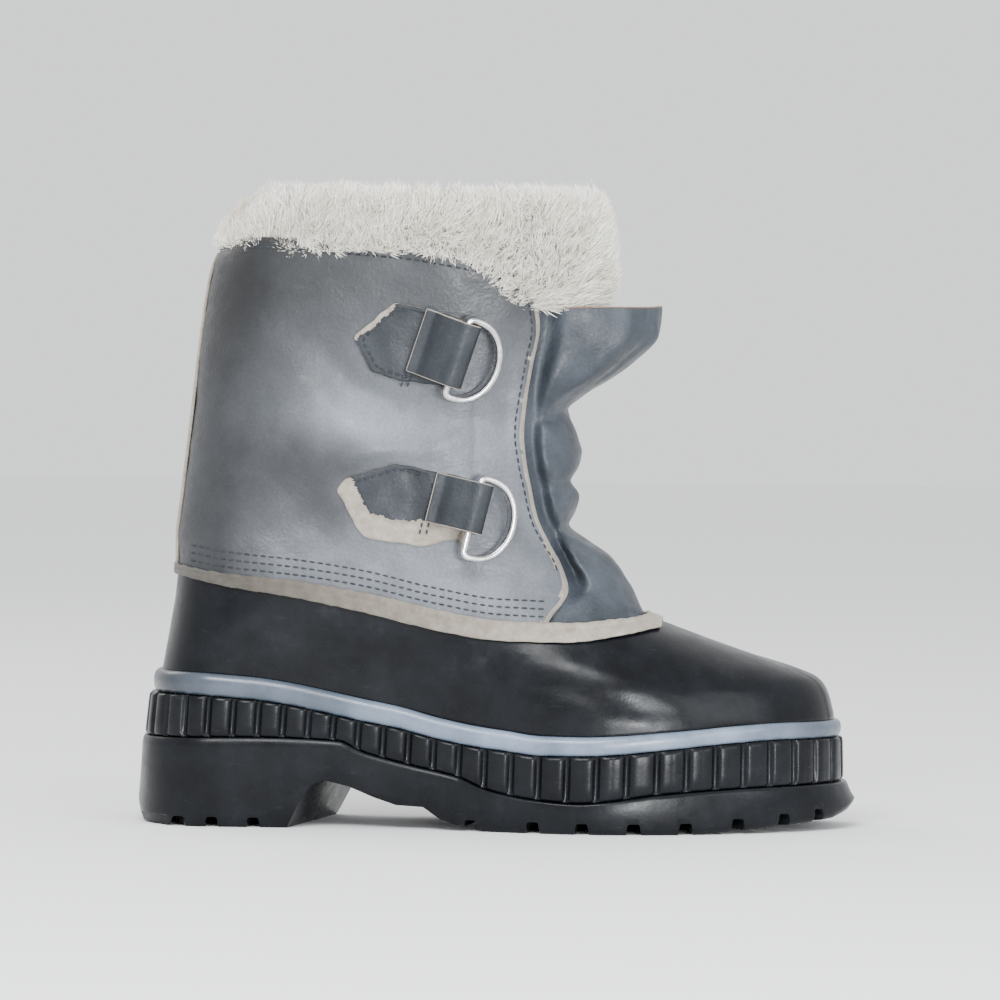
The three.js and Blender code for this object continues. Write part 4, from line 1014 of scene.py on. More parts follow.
cutters = [prism("cut_arch", ARCH, 160, lambda p: np.array([p[0] + BREAST_SLANT * (p[1] + 36), p[1], p[2]]))]
for i, (x, wide, deep, turn) in enumerate(SIDE_CHANNELS):
    mid = float(read(CENTRE, x))
    half = float(half_width(SOLE_TREAD, x))
    for side in (-1, 1):
        inward = min(27, half * 0.62)
        reach = inward + 14
        lean = math.radians(turn)
        cy = mid + side * (half - inward + reach / 2)
        cx = x + math.sin(lean) * (reach / 2 - inward) * 0.9
        place = side_place(cx, cy, -side * lean, float(underside(x)))
        cutters.append(prism(f"cut_side_{i}_{side}", lug_outline(wide, deep), reach, place))
for i, (x, long) in enumerate(CENTRE_CHANNELS):
    place = centre_place(x, float(read(CENTRE, x)), float(underside(x)))
    cutters.append(prism(f"cut_mid_{i}", lug_outline(4, 3.6), long, place))
join = bpy.data.collections.new("cutters")
bpy.context.scene.collection.children.link(join)
for c in cutters:
    join.objects.link(c)
    bpy.context.scene.collection.objects.unlink(c)


def modify(obj, kind, **values):
    """Adds one modifier to a piece, sets it and applies it to the mesh."""
    mod = obj.modifiers.new(kind.lower(), kind)
    for name, value in values.items():
        setattr(mod, name, value)
    deps = bpy.context.evaluated_depsgraph_get()
    fresh = bpy.data.meshes.new_from_object(obj.evaluated_get(deps), depsgraph=deps)
    old = obj.data
    obj.modifiers.clear()
    obj.data = fresh
    bpy.data.meshes.remove(old)


EDGE_ANGLE = math.radians(38)
modify(tread, "BOOLEAN", operation="DIFFERENCE", operand_type="COLLECTION", collection=join, solver="EXACT")
modify(tread, "BEVEL", width=0.55 * MM, segments=2, limit_method="ANGLE", angle_limit=EDGE_ANGLE)
tread.data.polygons.foreach_set("use_smooth", np.full(len(tread.data.polygons), True))
tread.data.set_sharp_from_angle(angle=EDGE_ANGLE)
for c in cutters:
    bpy.data.objects.remove(c)
bpy.data.collections.remove(join)

# ---- Insole -------------------------------------------------------------------
row50, row60 = level(50.0), level(60.0)
insole_row = grown({k: v + (row60[k] - v) * 0.3 for k, v in row50.items() if k != "z"}, -(SHELL_WALL + 2.4))
rings = [closed_ring(grown(insole_row, d), 120) for d in (-0.8, -0.1, 0.0, -0.1, -0.9, -2.0)]
rises = [0, 0.15, 0.5, 0.8, 0.96, 1]
pts, faces = layer_mesh(rings, lambda x: band_top(x) + 0.35, lambda x: band_top(x) + 4.35, rises)
add_mesh("felt_insole", pts, faces, [FELT], node="insole", angle=60)

# ---- Tongue -------------------------------------------------------------------
# Height, front, half width, middle and rear of each section.
TONGUE = np.array([
    (77, 210.0, 35.5, 158, 152), (82, 206.0, 35.5, 152, 146), (87, 203.6, 34.4, 148, 140),
    (101, 195.8, 35.0, 138, 130), (108, 191.0, 35.4, 134, 128), (115, 181.0, 35.8, 131, 126),
    (121, 174.0, 36.0, 129, 126), (127, 176.0, 36.2, 129, 126), (133, 177.4, 36.4, 129, 126),
    (139, 174.6, 36.5, 129, 126), (145, 177.2, 36.6, 130, 127), (151, 178.0, 36.8, 130, 127),
    (159, 175.4, 37.0, 131, 128), (167, 173.2, 37.0, 132, 130), (173, 178.5, 37.0, 134, 132),
    (180, 189.5, 35.5, 137, 136), (187, 198.5, 33.5, 141, 140), (199, 209.5, 30.0, 150, 149),
    (211, 210.0, 28.4, 157, 156),
], float)
TONGUE_ROUND = 2.15


def build_tongue():
    rows, cols = 160, 130
    v = np.linspace(0, 1, rows)[:, None]
    a = np.linspace(-math.pi / 2, math.pi / 2, cols)[None, :]
    # The lip's top edge dips between its rear corners and its tip.
    top = 210.2 - 2.6 * np.cos(a) ** 2 + 1.6 * np.cos(a) ** 8 - 2.4 * np.abs(np.sin(a)) ** 6
    z = 77.5 + (top - 77.5) * v
    f, half, mid, rear = (smooth_read(TONGUE[:, 0], TONGUE[:, i], z) for i in (1, 2, 3, 4))
    # Deep gathers at the fold lines, strongest beside the quarters.
    folds = np.array([(121, 4.2), (139, 3.8), (167.5, 4.6), (154, 2.0), (100, 1.8)])
    pinch = sum(d * np.exp(-((z - zc - 3.5 * np.sin(2 * a)) / 2.3) ** 2) for zc, d in folds)
    puff = sum(1.3 * np.exp(-((z - zc - 2.5 * np.sin(2 * a)) / 5.0) ** 2) for zc in (130, 147, 160))
    side_weight = 0.35 + 0.65 * np.abs(np.sin(a)) ** 1.5
    c = np.cos(a) ** (2 / TONGUE_ROUND)
    s = np.sign(a) * np.abs(np.sin(a)) ** (2 / TONGUE_ROUND)
    x = mid + (f - mid) * c
    end = np.abs(np.sin(a)) ** 40
    x = x * (1 - end) + rear * end
    y = half * s
    lip = ease((z - 176) / 26)
    # Long soft creases that run down from the lip.
    lines = 1.1 * np.exp(-((np.abs(a) - 0.62 - 0.10 * lip) / 0.09) ** 2) * ease((z - 168) / 10) - \
        1.5 * np.exp(-((np.abs(a) - 0.36) / 0.08) ** 2) * ease((z - 172) / 14)
    base_wave = 0.5 * wavy(z + 40 * a, 30 * a, 22, 31) * ease((z - 84) / 8)
    move = -pinch * side_weight * 0.55 + puff * side_weight * 0.5 + lines + base_wave
    nx, ny = c * np.ones_like(z), s * np.ones_like(z)
    length = np.hypot(nx, ny) + 1e-9
    x = x + move * nx / length
    y = y + move * ny / length
    # Behind the rubber and leather it keeps inside their walls.
    row = level(z)
    room = half_width(row, np.minimum(x, row["front"] - 0.5)) - SHAFT_WALL - 0.5
    under = ease((read(QUARTER_X, z) + 7.0 - x) / 5.0)
    under = np.maximum(under, ease((shell_top(x) + trim_tall(x) + 4.0 - z) / 3.0))
    y = np.where(room > 6, y + under * (np.clip(y, -room, room) - y), y)
    bend = row["bend"] * read(CENTRE, x)
    p = np.stack([x, y + bend, z], -1)
    for _ in range(2):
        p[:, 1:-1] = 0.25 * p[:, :-2] + 0.5 * p[:, 1:-1] + 0.25 * p[:, 2:]
        p[1:-1, :] = 0.25 * p[:-2, :] + 0.5 * p[1:-1, :] + 0.25 * p[2:, :]
    n = grid_normals(p, False)
    if np.mean(n[:, cols // 2, 0]) < 0:
        p, n = p[:, ::-1], grid_normals(p[:, ::-1], False)
    return p, n


tongue_p, tongue_n = build_tongue()
pts, faces, kinds = thick_sheet(tongue_p, 1.5, False, rim=5, normals=tongue_n, bulge=0.3)
add_mesh("gusset_tongue", pts, faces, [TONGUE_LEATHER, LINING_EDGE, FLEECE], kinds, node="tongue")

# ---- Pile cuff ------------------------------------------------------------------
CUFF = np.array([
    (200, 24.5, 171.5, 40, 8, 98), (206, 25.5, 175.5, 41, 12, 99), (213, 27.5, 184.5, 44, 14, 100),
    (221, 29.5, 187.0, 47, 15, 102), (230, 32.5, 187.0, 50, 16, 104), (238, 37.0, 186.6, 51.5, 16.5, 107),
    (245, 43.5, 185.4, 50.5, 16, 110), (250, 51.0, 182.0, 47.5, 13.5, 113),
    (253.5, 60.0, 174.5, 42.5, 8.5, 116),
], float)
CUFF_ROUND = 2.25


def cuff_ring(z, a, inset):
    """Point on the pile's skin at height z and angle a, moved in by inset."""
    back, front, half, middle = (smooth_read(CUFF[:, 0], CUFF[:, i], z) for i in (1, 2, 3, 5))
    c, s = np.cos(a), np.sin(a)
    reach = np.where(c < 0, middle - back - inset, front - inset - middle)
    x = middle + reach * np.sign(c) * np.abs(c) ** (2 / CUFF_ROUND)
    y = (half - inset) * np.sign(s) * np.abs(s) ** (2 / CUFF_ROUND)
    return x, y


def cuff_skin(v, a):
    """The cuff's skin: v 0..0.45 up the outside, ..0.6 over the crown, ..1 down the inside."""
    v, a = np.broadcast_arrays(v, a)
    low_out = 229.0 - 20.0 * ease((np.cos(a) - 0.15) / 0.5)
    up = np.clip(v / 0.45, 0, 1)
    z_out = low_out + (247.5 - low_out) * up
    crown = np.clip((v - 0.45) / 0.15, 0, 1)
    down = np.clip((v - 0.6) / 0.4, 0, 1)
    # outside
    x1, y1 = cuff_ring(z_out, a, 2.6)
    # crown: half circle between the outer and inner walls
    deep = 15.0
    ang = crown * math.pi
    ins = 2.6 + deep / 2 * (1 - np.cos(ang))
    xc, yc = cuff_ring(np.full_like(v, 247.5), a, ins)
    zc = 247.5 + 3.6 * np.sin(ang)
    # inside
    zi = 247.5 - 62 * down
    xi, yi = cuff_ring(np.maximum(zi, 201.0), a, 2.6 + deep - 5.0 * ease(down / 0.8))
    x = np.where(v < 0.45, x1, np.where(v < 0.6, xc, xi))
    y = np.where(v < 0.45, y1, np.where(v < 0.6, yc, yi))
    z = np.where(v < 0.45, z_out, np.where(v < 0.6, zc, zi))
    # The pile slopes down towards the heel and swells towards the front.
    lump = 0.9 * wavy(a * 70, z, 34, 51) + 0.5 * wavy(a * 70, z, 13, 52)
    return np.stack([x, y, z], -1), lump


def build_cuff():
    rows, cols = 56, 200
    v = np.linspace(0, 1, rows)[:, None]
    a = np.linspace(0, 2 * math.pi, cols, endpoint=False)[None, :]
    p, lump = cuff_skin(v, a)
    n = grid_normals(p, True)
    probe = n[2, 0]
    if probe[0] < 0:
        n = -n
    p = p + n * (lump - 0.8)[..., None]
    return p, n


cuff_p, cuff_n = build_cuff()
base_p, base_n = oriented(cuff_p, cuff_n)
pts, faces, kinds = thick_sheet(base_p, 1.6, True, rim=3, normals=base_n)
add_mesh("pile_cuff_base", pts, faces, [PILE], node="fur_cuff")


def strands(name, count, v_range, lean, long, seed, mat):
    """Tapered curved fibres rooted on the cuff's skin, gathered in soft tufts."""
    r = np.random.default_rng(seed)
    rows, cols = cuff_p.shape[:2]
    vv = r.uniform(v_range[0], v_range[1], count)
    aa = r.uniform(0, 1, count)
    k = vv * (rows - 1)
    i = aa * cols
    k0 = np.clip(k.astype(int), 0, rows - 2)
    i0 = i.astype(int) % cols
    fv, fi = (k - k0)[:, None], (i - i.astype(int))[:, None]
    i1 = (i0 + 1) % cols

    def at(g):
        return (g[k0, i0] * (1 - fv) * (1 - fi) + g[k0 + 1, i0] * fv * (1 - fi)
                + g[k0, i1] * (1 - fv) * fi + g[k0 + 1, i1] * fv * fi)

    root, n = at(cuff_p), at(cuff_n)
    n /= np.linalg.norm(n, axis=1, keepdims=True)
    up = at(np.gradient(cuff_p, axis=0))
    up /= np.linalg.norm(up, axis=1, keepdims=True) + 1e-9
    side = np.cross(n, up)
    # Tufts: each fibre leans towards its tuft's own random heading.
    cell_a = np.floor(aa * 150).astype(int)
    cell_v = np.floor(vv * 46).astype(int)
    key = (cell_a * 7919 + cell_v * 104729) % 4096
    heads = r.normal(0, 1, (4096, 2))
    curl = heads[key]
    broad = np.stack([wavy(aa * 460, vv * 80, 40, seed + 1), wavy(aa * 460, vv * 80, 60, seed + 2)], 1)
    lay_up = lean + 0.22 * curl[:, 0] + 0.35 * broad[:, 0] + r.normal(0, 0.12, count)
    lay_side = 0.26 * curl[:, 1] + 0.45 * broad[:, 1] + r.normal(0, 0.14, count)
    length = long * (0.75 + 0.35 * r.random(count)) * (1 + 0.12 * curl[:, 0])
    d0 = n + up * lay_up[:, None] * 0.55 + side * lay_side[:, None] * 0.5
    d1 = n * 0.55 + up * lay_up[:, None] * 1.25 + side * lay_side[:, None] * 1.2 + np.array([0, 0, -0.12])
    d0 /= np.linalg.norm(d0, axis=1, keepdims=True)
    d1 /= np.linalg.norm(d1, axis=1, keepdims=True)
    mid = root + d0 * (length * 0.5)[:, None]
    tip = mid + d1 * (length * 0.5)[:, None]
    root = root - n * 0.6
    flat = np.cross(d0, r.normal(0, 1, (count, 3)))
    flat /= np.linalg.norm(flat, axis=1, keepdims=True) + 1e-9
    w = (0.27 + 0.12 * r.random(count))[:, None]
    low, high = flat * w, flat * w * 0.8
    pts = np.stack([root - low, root + low, mid - high, mid + high, tip], 1).reshape(-1, 3)
    b = np.arange(count)[:, None] * 5
    tri = np.concatenate([b + [0, 1, 3], b + [0, 3, 2], b + [2, 3, 4]], 0)
    mesh = bpy.data.meshes.new(name)
    mesh.vertices.add(len(pts))
    mesh.vertices.foreach_set("co", ((pts + SHIFT) * MM).astype(np.float32).ravel())
    mesh.loops.add(len(tri) * 3)
    mesh.loops.foreach_set("vertex_index", tri.astype(np.int32).ravel())
    mesh.polygons.add(len(tri))
    mesh.polygons.foreach_set("loop_start", np.arange(0, len(tri) * 3, 3, dtype=np.int32))
    mesh.update(calc_edges=True)
    mesh.validate()
    mesh.materials.append(mat)
    mesh.polygons.foreach_set("use_smooth", np.full(len(mesh.polygons), True))
    obj = bpy.data.objects.new(name, mesh)
    bpy.context.scene.collection.objects.link(obj)
    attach(obj, "boot")
    return obj


strands("pile_outside_a", 36000, (0.0, 0.46), 0.55, 9.0, 61, PILE)
strands("pile_outside_b", 36000, (0.0, 0.46), 0.62, 10.5, 67, PILE_TIP)
strands("pile_crown", 34000, (0.40, 0.68), 0.15, 8.0, 71, PILE_TIP)
strands("pile_inside", 22000, (0.60, 0.96), -0.2, 6.0, 73, PILE)

# ---- Ring patches, folds and rings ---------------------------------------------
PATCHES = {
    "upper": dict(corners=[(88.5, 196), (105, 209.8), (132.5, 204), (124.5, 177), (107.6, 178.6), (96, 182)],
                  low=(124.6, 178.2), high=(132.6, 202.4), lift=-10, sag=1.2),
    "lower": dict(corners=[(82.5, 134.5), (85.5, 139.4), (105.5, 146), (137.4, 139.6), (132.4, 116.5),
                           (116, 113), (93, 116.2)],
                  low=(132.4, 119.4), high=(136.9, 138.4), lift=-3, sag=3.8),
}
# Where the thick raw edge of a patch shows, as a line in side view.
RAW_LINE = {
    "upper": np.array([(80, 186.7), (88.5, 193.8), (104, 206.8), (108, 214), (140, 214)], float),
    "lower": np.array([(82, 150), (88.1, 140.6), (90.7, 135.1), (95.8, 126.3), (109.6, 123.2), (124.4, 123.7),
                       (140, 125.6)], float),
}


def raw_depth(level_name, x, z):
    """Millimetres past a patch's raw line: above the upper's, below the lower's."""
    rag = 0.35 * np.sin(x * 0.8) + 0.2 * np.sin(x * 2.1 + 1)
    past = z - read(RAW_LINE[level_name], x) + rag
    return past if level_name == "upper" else -past


FOLD_BACK = 15.0


def one_point(x, z):
    p, _ = surface(np.array([x], float), np.array([z], float), -1.0, 0.0)
    return p[0]


def unit(v):
    return v / np.linalg.norm(v)


def fold_frame(patch):
    """Directions, length and middle of the bar that a patch folds round."""
    low, high = one_point(*patch["low"]), one_point(*patch["high"])
    along = unit(high - low)
    x = (patch["low"][0] + patch["high"][0]) / 2
    z = (patch["low"][1] + patch["high"][1]) / 2
    across = unit(one_point(x + 3, z) - one_point(x - 3, z))
    outward = unit(-np.cross(along, across))
    if outward[1] > 0:
        outward = -outward
    forward = unit(np.cross(along, outward))
    middle = one_point(x, z) + outward * LOOP_RISE
    long = float(np.linalg.norm(high - low))
    return dict(along=along, outward=outward, forward=forward, middle=middle, long=long)


def rounded(corners, radius, steps=5):
    """Polygon with its corners rounded, as points."""
    c = np.array(corners, float)
    out = []
    for i in range(len(c)):
        a, b, d = c[i - 1], c[i], c[(i + 1) % len(c)]
        u, w = unit(a - b), unit(d - b)
        half = math.acos(np.clip(u @ w, -1, 1)) / 2
        cut = min(radius / math.tan(half), 0.45 * min(np.linalg.norm(a - b), np.linalg.norm(d - b)))
        p0, p1 = b + u * cut, b + w * cut
        for t in np.linspace(0, 1, steps):
            out.append((1 - t) ** 2 * p0 + 2 * t * (1 - t) * b + t**2 * p1)
    return np.array(out)


def even_loop(points, n):
    loop = np.vstack([points, points[:1]])
    s = steps_along(loop)
    u = np.linspace(0, s[-1], n, endpoint=False)
    return np.column_stack([np.interp(u, s, loop[:, 0]), np.interp(u, s, loop[:, 1])])


def mirror(p):
    q = np.array(p, float).copy()
    q[..., 1] *= -1
    return q


def both_sides(level_name, make):
    """Makes the outer piece, then its mirror for the inner side."""
    for where in ("outer", "inner"):
        make(f"{where}_{level_name}", where == "inner")


def stitches(name, starts, ends, radius):
    """Many short rounded stitches as one mesh."""
    sides, rings = 6, [(-0.5, 0.25), (-0.36, 0.8), (0.0, 1.0), (0.36, 0.8), (0.5, 0.25)]
    pts, faces = [], []
    for a, b in zip(starts, ends):
        d = b - a
        long = np.linalg.norm(d)
        if long < 1e-6:
            continue
        d = d / long
        u = unit(np.cross(d, [0.3, 0.2, 0.93]))
        w = np.cross(d, u)
        base = len(pts)
        for s, r in rings:
            for k in range(sides):
                ang = 2 * math.pi * k / sides
                pts.append((a + b) / 2 + d * long * s + (u * math.cos(ang) + w * math.sin(ang)) * radius * r)
        for j in range(len(rings) - 1):
            for k in range(sides):
                k2 = (k + 1) % sides
                low, high = base + j * sides, base + (j + 1) * sides
                faces.append((low + k, low + k2, high + k2, high + k))
        faces.append(tuple(base + k for k in range(sides))[::-1])
        faces.append(tuple(base + (len(rings) - 1) * sides + k for k in range(sides)))
    add_mesh(name, pts, faces, [THREAD])


def stitch_run(path_xz, side, out, pitch=3.1, long=2.2, lift_fn=None):
    """Stitch ends along a side-view path on the leather."""
    path = np.array(path_xz, float)
    s = steps_along(path)
    u = np.arange(pitch / 2, s[-1] - pitch / 2, pitch)
    ends = []
    for shift in (-long / 2, long / 2):
        x, z = np.interp(u + shift, s, path[:, 0]), np.interp(u + shift, s, path[:, 1])
        p, n = surface(x, z, side, 0.0)
        rise = out + (lift_fn(x, z, side) if lift_fn else 0)
        ends.append(p + n * np.asarray(rise)[..., None])
    return ends


def joined(runs):
    """Starts and ends of several stitch runs, end to end."""
    return [np.concatenate(ends) for ends in zip(*runs)]


PATCH_OUT = 2.15  # the patch's face above the last
PATCH_WALL = 1.3
STRAP_HALF = 0.82
STRAP_ROWS = 90
STRAP_COLS = 26


def patch_plate(level_name, loop, flip):
    """The patch lying on the leather: points, faces and face kinds."""
    mid = loop.mean(0)
    radii = np.concatenate([np.linspace(0, 0.93, 30), [0.95, 0.97, 0.985, 1.0]])
    turn = np.linspace(0, 2 * math.pi, len(loop), endpoint=False)
    wob = 1 + 0.010 * np.sin(turn * 9 + (2 if flip else 0)) + 0.006 * np.sin(turn * 17)
    grid = mid + (loop - mid)[None] * (radii[:, None] * wob[None, :])[..., None]
    x, z = grid[..., 0], grid[..., 1]
    thick = np.where(radii > 0.93, PATCH_OUT - 0.5 * ((radii - 0.93) / 0.07) ** 2, PATCH_OUT)[:, None]
    # The stitched line behind the fold presses the patch in.
    stitch_x = 112.5 if level_name == "upper" else 113.0
    dent = 0.5 * np.exp(-((x - stitch_x - 0.25 * (z - mid[1]) * (level_name == "upper")) / 4.2) ** 2)
    crease = np.maximum(shaft_creases(x, z, -1.0) * 0.6, -0.2) * 0.4
    rise = thick - dent * (radii[:, None] < 0.9) + crease + 0.25 * wavy(x, z, 16, 81)
    rise = rise - 0.75 * ease(raw_depth(level_name, x, z) / 1.2)
    p, n = surface(x, z, -1.0, rise)
    if flip:
        p, n = mirror(p), mirror(n)
    p, _ = oriented(p, n)
    n = grid_normals(p, True)
    n[0] = n[1].mean(0)
    pts, faces, kinds = thick_sheet(p, PATCH_WALL, True, rim=4, normals=n, bulge=0.25)
    middle = pts[faces].mean(1)
    raw = (kinds == 0) & (raw_depth(level_name, middle[:, 0], middle[:, 2]) > 0)
    return pts, faces, np.where(raw, 1, kinds)


def fold_strap(fold, flip):
    """A strap that leaves the patch, rounds the ring's bar and comes back under."""
    r_mid = (LOOP_OUTER + LOOP_BORE) / 2
    path = [(-LOOP_RISE + 2.3, -FOLD_BACK - 1.0), (-LOOP_RISE + 2.9, -FOLD_BACK + 3.0)]
    path += [(-0.4, -9.2), (2.2, -5.6), (3.9, -2.6)]
    path += [(r_mid * math.cos(t), r_mid * math.sin(t)) for t in np.linspace(-0.15, math.pi * 0.98, 22)]
    path += [(-r_mid * 1.0, -2.0), (-LOOP_RISE + 1.55, -6.0), (-LOOP_RISE + 1.0, -FOLD_BACK)]
    path = np.array(path)
    s = steps_along(path)
    u = np.linspace(0, s[-1], STRAP_ROWS)
    out, ahead = np.interp(u, s, path[:, 0]), np.interp(u, s, path[:, 1])
    for _ in range(3):
        for line in (out, ahead):
            line[1:-1] = 0.25 * line[:-2] + 0.5 * line[1:-1] + 0.25 * line[2:]
    wide = np.linspace(-0.5, 0.5, STRAP_COLS) * fold["long"]
    crease = 0.22 * np.sin(wide / fold["long"] * 9 + 1)[None, :] * np.exp(-((ahead + 6) / 6) ** 2)[:, None]
    strap = (fold["middle"] + (out[:, None] + crease)[..., None] * fold["outward"]
             + ahead[:, None, None] * fold["forward"] + wide[None, :, None] * fold["along"])
    bar = fold["middle"]
    if flip:
        strap, bar = mirror(strap), mirror(bar)
    n = grid_normals(strap, False)
    # The strap's outside faces away from the bar.
    probe = (STRAP_ROWS // 2, STRAP_COLS // 2)
    if n[probe] @ (strap[probe] - bar) < 0:
        strap = strap[:, ::-1]
        n = grid_normals(strap, False)
    return thick_sheet(strap + n * STRAP_HALF, 2 * STRAP_HALF, False, rim=4, normals=n, bulge=0.2)


def patch_seams(level_name, patch, fold, loop):
    """A double row of stitches behind the fold and a row round the patch's edge."""
    mid = loop.mean(0)
    (x0, z0), (x1, z1) = patch["low"], patch["high"]
    x, z = (x0 + x1) / 2 - FOLD_BACK, (z0 + z1) / 2
    lean, half = (x1 - x0) / (z1 - z0), fold["long"] / 2 + 1.5
    runs = []
    for dx in (-1.6, 1.0):
        line = [(x + dx - lean * half, z - half), (x + dx + lean * half, z + half)]
        runs.append(stitch_run(line, -1.0, 2.35, 2.7, 1.9))
    inner_loop = mid + (loop - mid) * 0.86
    clear = raw_depth(level_name, inner_loop[:, 0], inner_loop[:, 1]) < -1.2
    behind = inner_loop[(inner_loop[:, 0] < x - 2.5) & clear]
    order = np.argsort(np.arctan2(behind[:, 1] - mid[1], -(behind[:, 0] - mid[0])))
    runs.append(stitch_run(behind[order], -1.0, 2.35, 3.0, 2.1))
    return joined(runs)


def build_patch(level_name):
    patch = PATCHES[level_name]
    loop = even_loop(rounded(patch["corners"], 3.2), 120)
    fold = fold_frame(patch)

    def make(tag, flip):
        pts, faces, kinds = patch_plate(level_name, loop, flip)
        strap_pts, strap_faces, strap_kinds = fold_strap(fold, flip)
        pts_all = np.concatenate([pts, strap_pts])
        faces_all = np.concatenate([faces, strap_faces + len(pts)])
        rims = np.concatenate([kinds, strap_kinds]) == 1
        add_mesh(f"ring_patch_{tag}_leather", pts_all, faces_all, [PATCH_LEATHER, EDGE], np.where(rims, 1, 0),
                 node=f"ring_patch_{tag}", angle=70)
        starts, ends = patch_seams(level_name, patch, fold, loop)
        if flip:
            starts, ends = mirror(starts), mirror(ends)
        stitches(f"patch_stitches_{tag}", starts, ends, 0.42)

    both_sides(level_name, make)


def d_path(n):
    """Centre line of the D-shaped strip, counter-clockwise, bar on the first axis's zero."""
    half = RING_TALL / 2 - RING_THICK / 2
    reach = RING_REACH - RING_THICK / 2
    corner = 2.4
    pts = []
    for t in np.linspace(math.pi, 1.5 * math.pi, 10):
        pts.append((corner + corner * math.cos(t), -half + corner + corner * math.sin(t)))
    for t in np.linspace(-math.pi / 2, math.pi / 2, 60)[1:-1]:
        pts.append((corner + (reach - corner) * math.cos(t) ** 0.82, half * math.sin(t)))
    for t in np.linspace(0.5 * math.pi, math.pi, 10):
        pts.append((corner + corner * math.cos(t), half - corner + corner * math.sin(t)))
    return even_loop(np.array(pts), n)


def build_ring(level_name):
    patch = PATCHES[level_name]
    fr = fold_frame(patch)
    lift = math.radians(patch["lift"])
    reach_dir = fr["forward"] * math.cos(lift) + fr["outward"] * math.sin(lift)
    normal = np.cross(reach_dir, fr["along"])
    centre = fr["middle"] - fr["along"] * patch["sag"]
    path = d_path(150)
    tangent = np.roll(path, -1, 0) - np.roll(path, 1, 0)
    tangent /= np.linalg.norm(tangent, axis=1, keepdims=True)
    outward = np.column_stack([tangent[:, 1], -tangent[:, 0]])
    t, w = RING_THICK / 2, RING_STRIP / 2
    # Section of the flat strip: (thickness, width), softened edges and a slight crown.
    outer_half = [(t * 0.35, -w), (t * 0.85, -w + 0.28), (t, -w + 0.75), (t * 1.12, 0)]
    inner_half = [(-t * 0.35, w), (-t * 0.85, w - 0.28), (-t, w - 0.8), (-t, 0)]
    section = outer_half + [(u, -v) for u, v in reversed(outer_half[:-1])]
    section = np.array(section + inner_half + [(u, -v) for u, v in reversed(inner_half[:-1])])

    def make(tag, flip):
        p2 = path[None] + outward[None] * section[:, 0][:, None, None]
        p = (centre + p2[..., 0][..., None] * reach_dir + p2[..., 1][..., None] * fr["along"]
             + section[:, 1][:, None, None] * normal)
        if flip:
            p = mirror(p)
        rows, cols = p.shape[:2]
        faces = grid_faces(rows, cols, True)
        here, after = np.arange(cols), (np.arange(cols) + 1) % cols
        last = (rows - 1) * cols
        wrap = np.stack([last + here, last + after, after, here], -1)
        faces = np.concatenate([faces, wrap])
        n = np.cross(p[3, 1] - p[3, 0], p[4, 0] - p[3, 0])
        out = p[3, 0] - p[9, 0]
        if n @ out < 0:
            faces = faces[:, ::-1]
        add_mesh(f"ring_{tag}_strip", p.reshape(-1, 3), faces, [NICKEL], body=f"ring_{tag}",
                 node=f"d_ring_{tag}", angle=45)

    both_sides(level_name, make)


for name in ("upper", "lower"):
    build_patch(name)
    build_ring(name)

# ---- Stitch rows on the leather -------------------------------------------------
def line_above_strip(rise, x0=22.0, x1=166.0, steps=120):
    x = np.linspace(x0, x1, steps)
    return np.column_stack([x, shell_top(x) + trim_tall(x) + rise])


def quarter_lines():
    """The three rows above the strip, the row down the front edge and the one under the cuff."""
    z = np.linspace(100, 214, 120)
    x = np.linspace(46, 150, 120)
    front = np.column_stack([read(QUARTER_X, z) - 4.2, z])[::-1]
    top = np.column_stack([x, read(TOP_Z, x) - 4.0])
    return [line_above_strip(rise) for rise in (2.6, 5.6, 8.6)] + [front, top]


runs = [stitch_run(line, side, 0.1, 3.3, 2.3, quarter_rise)
        for side in (-1.0, 1.0) for line in quarter_lines()]
stitches("quarter_stitches", *joined(runs), 0.4)

# ---- Floor, light and camera -----------------------------------------------------
def plain(name, colour, rough):
    f = Finish(name, colour, rough)
    f.colour(f.ramp(f.noise(3, 2), [(0.2, colour), (0.8, tuple(min(1, c * 1.01) for c in colour))]))
    return f.mat


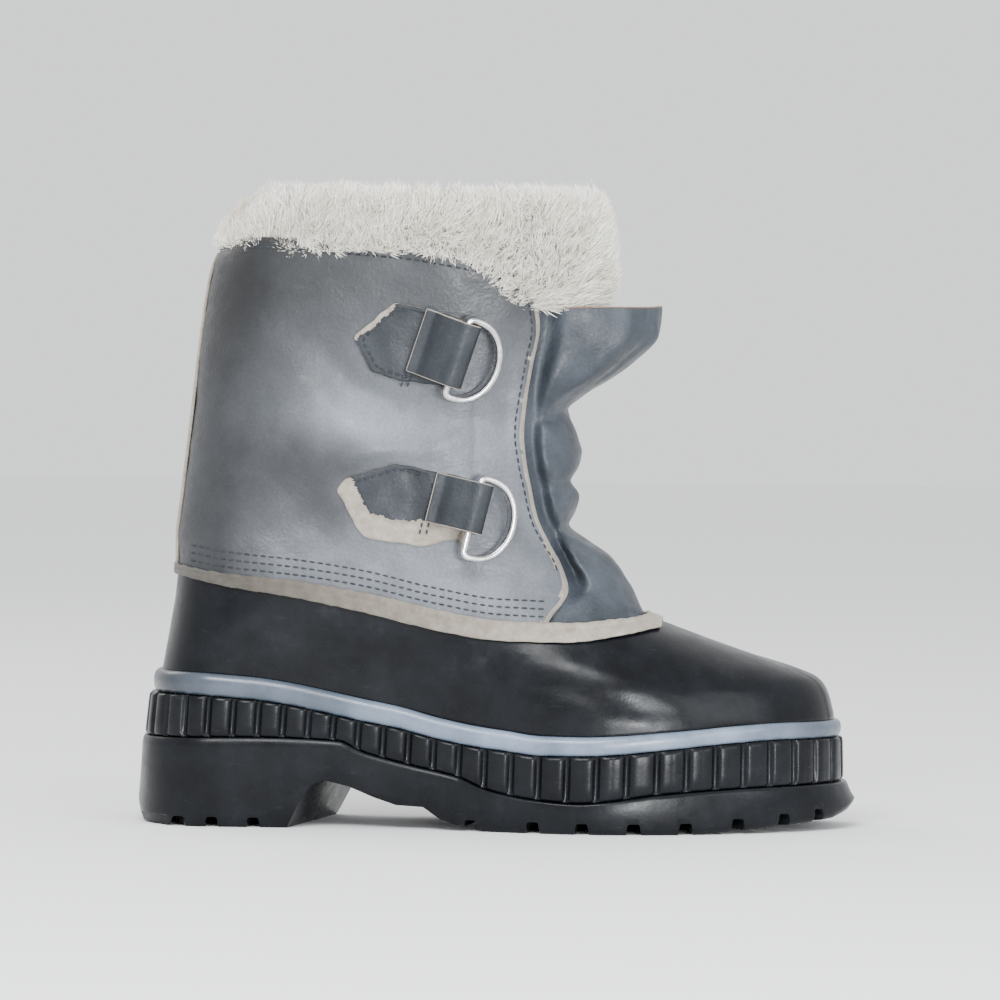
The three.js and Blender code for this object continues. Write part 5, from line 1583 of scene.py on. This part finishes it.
floor_mesh = bpy.data.meshes.new("floor")
floor_mesh.from_pydata([(-6, -6, 0), (6, -6, 0), (6, 6, 0), (-6, 6, 0)], [], [(0, 1, 2, 3)])
floor = bpy.data.objects.new("floor", floor_mesh)
floor_mesh.materials.append(plain("pale_floor", (0.93, 0.93, 0.93), 0.8))
bpy.context.scene.collection.objects.link(floor)
floor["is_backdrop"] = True

world = bpy.data.worlds.new("studio")
bpy.context.scene.world = world
world.use_nodes = True
world.node_tree.nodes["Background"].inputs["Color"].default_value = (0.97, 0.985, 1.0, 1)
world.node_tree.nodes["Background"].inputs["Strength"].default_value = 1.3


def area(name, place, aim, size, power, colour=(1, 1, 1)):
    data = bpy.data.lights.new(name, "AREA")
    data.shape = "RECTANGLE"
    data.size, data.size_y = size
    data.energy = power
    data.color = colour
    obj = bpy.data.objects.new(name, data)
    obj.location = place
    obj.rotation_euler = (Vector(aim) - Vector(place)).to_track_quat("-Z", "Y").to_euler()
    bpy.context.scene.collection.objects.link(obj)
    return obj


area("key_window", (-0.25, -1.5, 1.25), (0, 0, 0.12), (0.9, 0.7), 42, (0.96, 0.985, 1.0))
area("front_fill", (1.3, -1.0, 0.55), (0.05, 0, 0.1), (0.7, 0.7), 8, (0.93, 0.97, 1.0))
area("ball_glint", (0.72, -1.85, 0.12), (0.06, 0, 0.03), (0.5, 0.2), 34, (0.95, 0.98, 1.0))
area("rear_rim", (-1.1, 0.9, 1.1), (0, 0, 0.15), (0.9, 0.7), 8, (1.0, 0.97, 0.93))

low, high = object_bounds()
centre = (Vector(low) + Vector(high)) / 2
CAMERA_YAW = 2.5
CAMERA_RISE = 1.5
CAMERA_DISTANCE = 2.4
CAMERA_ROLL = 0.65
yaw, pitch = math.radians(CAMERA_YAW), math.radians(CAMERA_RISE)
flat = math.cos(pitch)
eye = centre + CAMERA_DISTANCE * Vector((math.sin(yaw) * flat, -math.cos(yaw) * flat, math.sin(pitch)))
cam_data = bpy.data.cameras.new("camera")
cam_data.lens = 214
cam_data.clip_start = 0.02
cam = bpy.data.objects.new("camera", cam_data)
cam.location = eye
aim = (centre - eye).to_track_quat("-Z", "Y").to_matrix().to_4x4()
cam.matrix_world = Matrix.Translation(eye) @ aim @ Matrix.Rotation(math.radians(CAMERA_ROLL), 4, "Z")
bpy.context.scene.collection.objects.link(cam)
bpy.context.scene.camera = cam
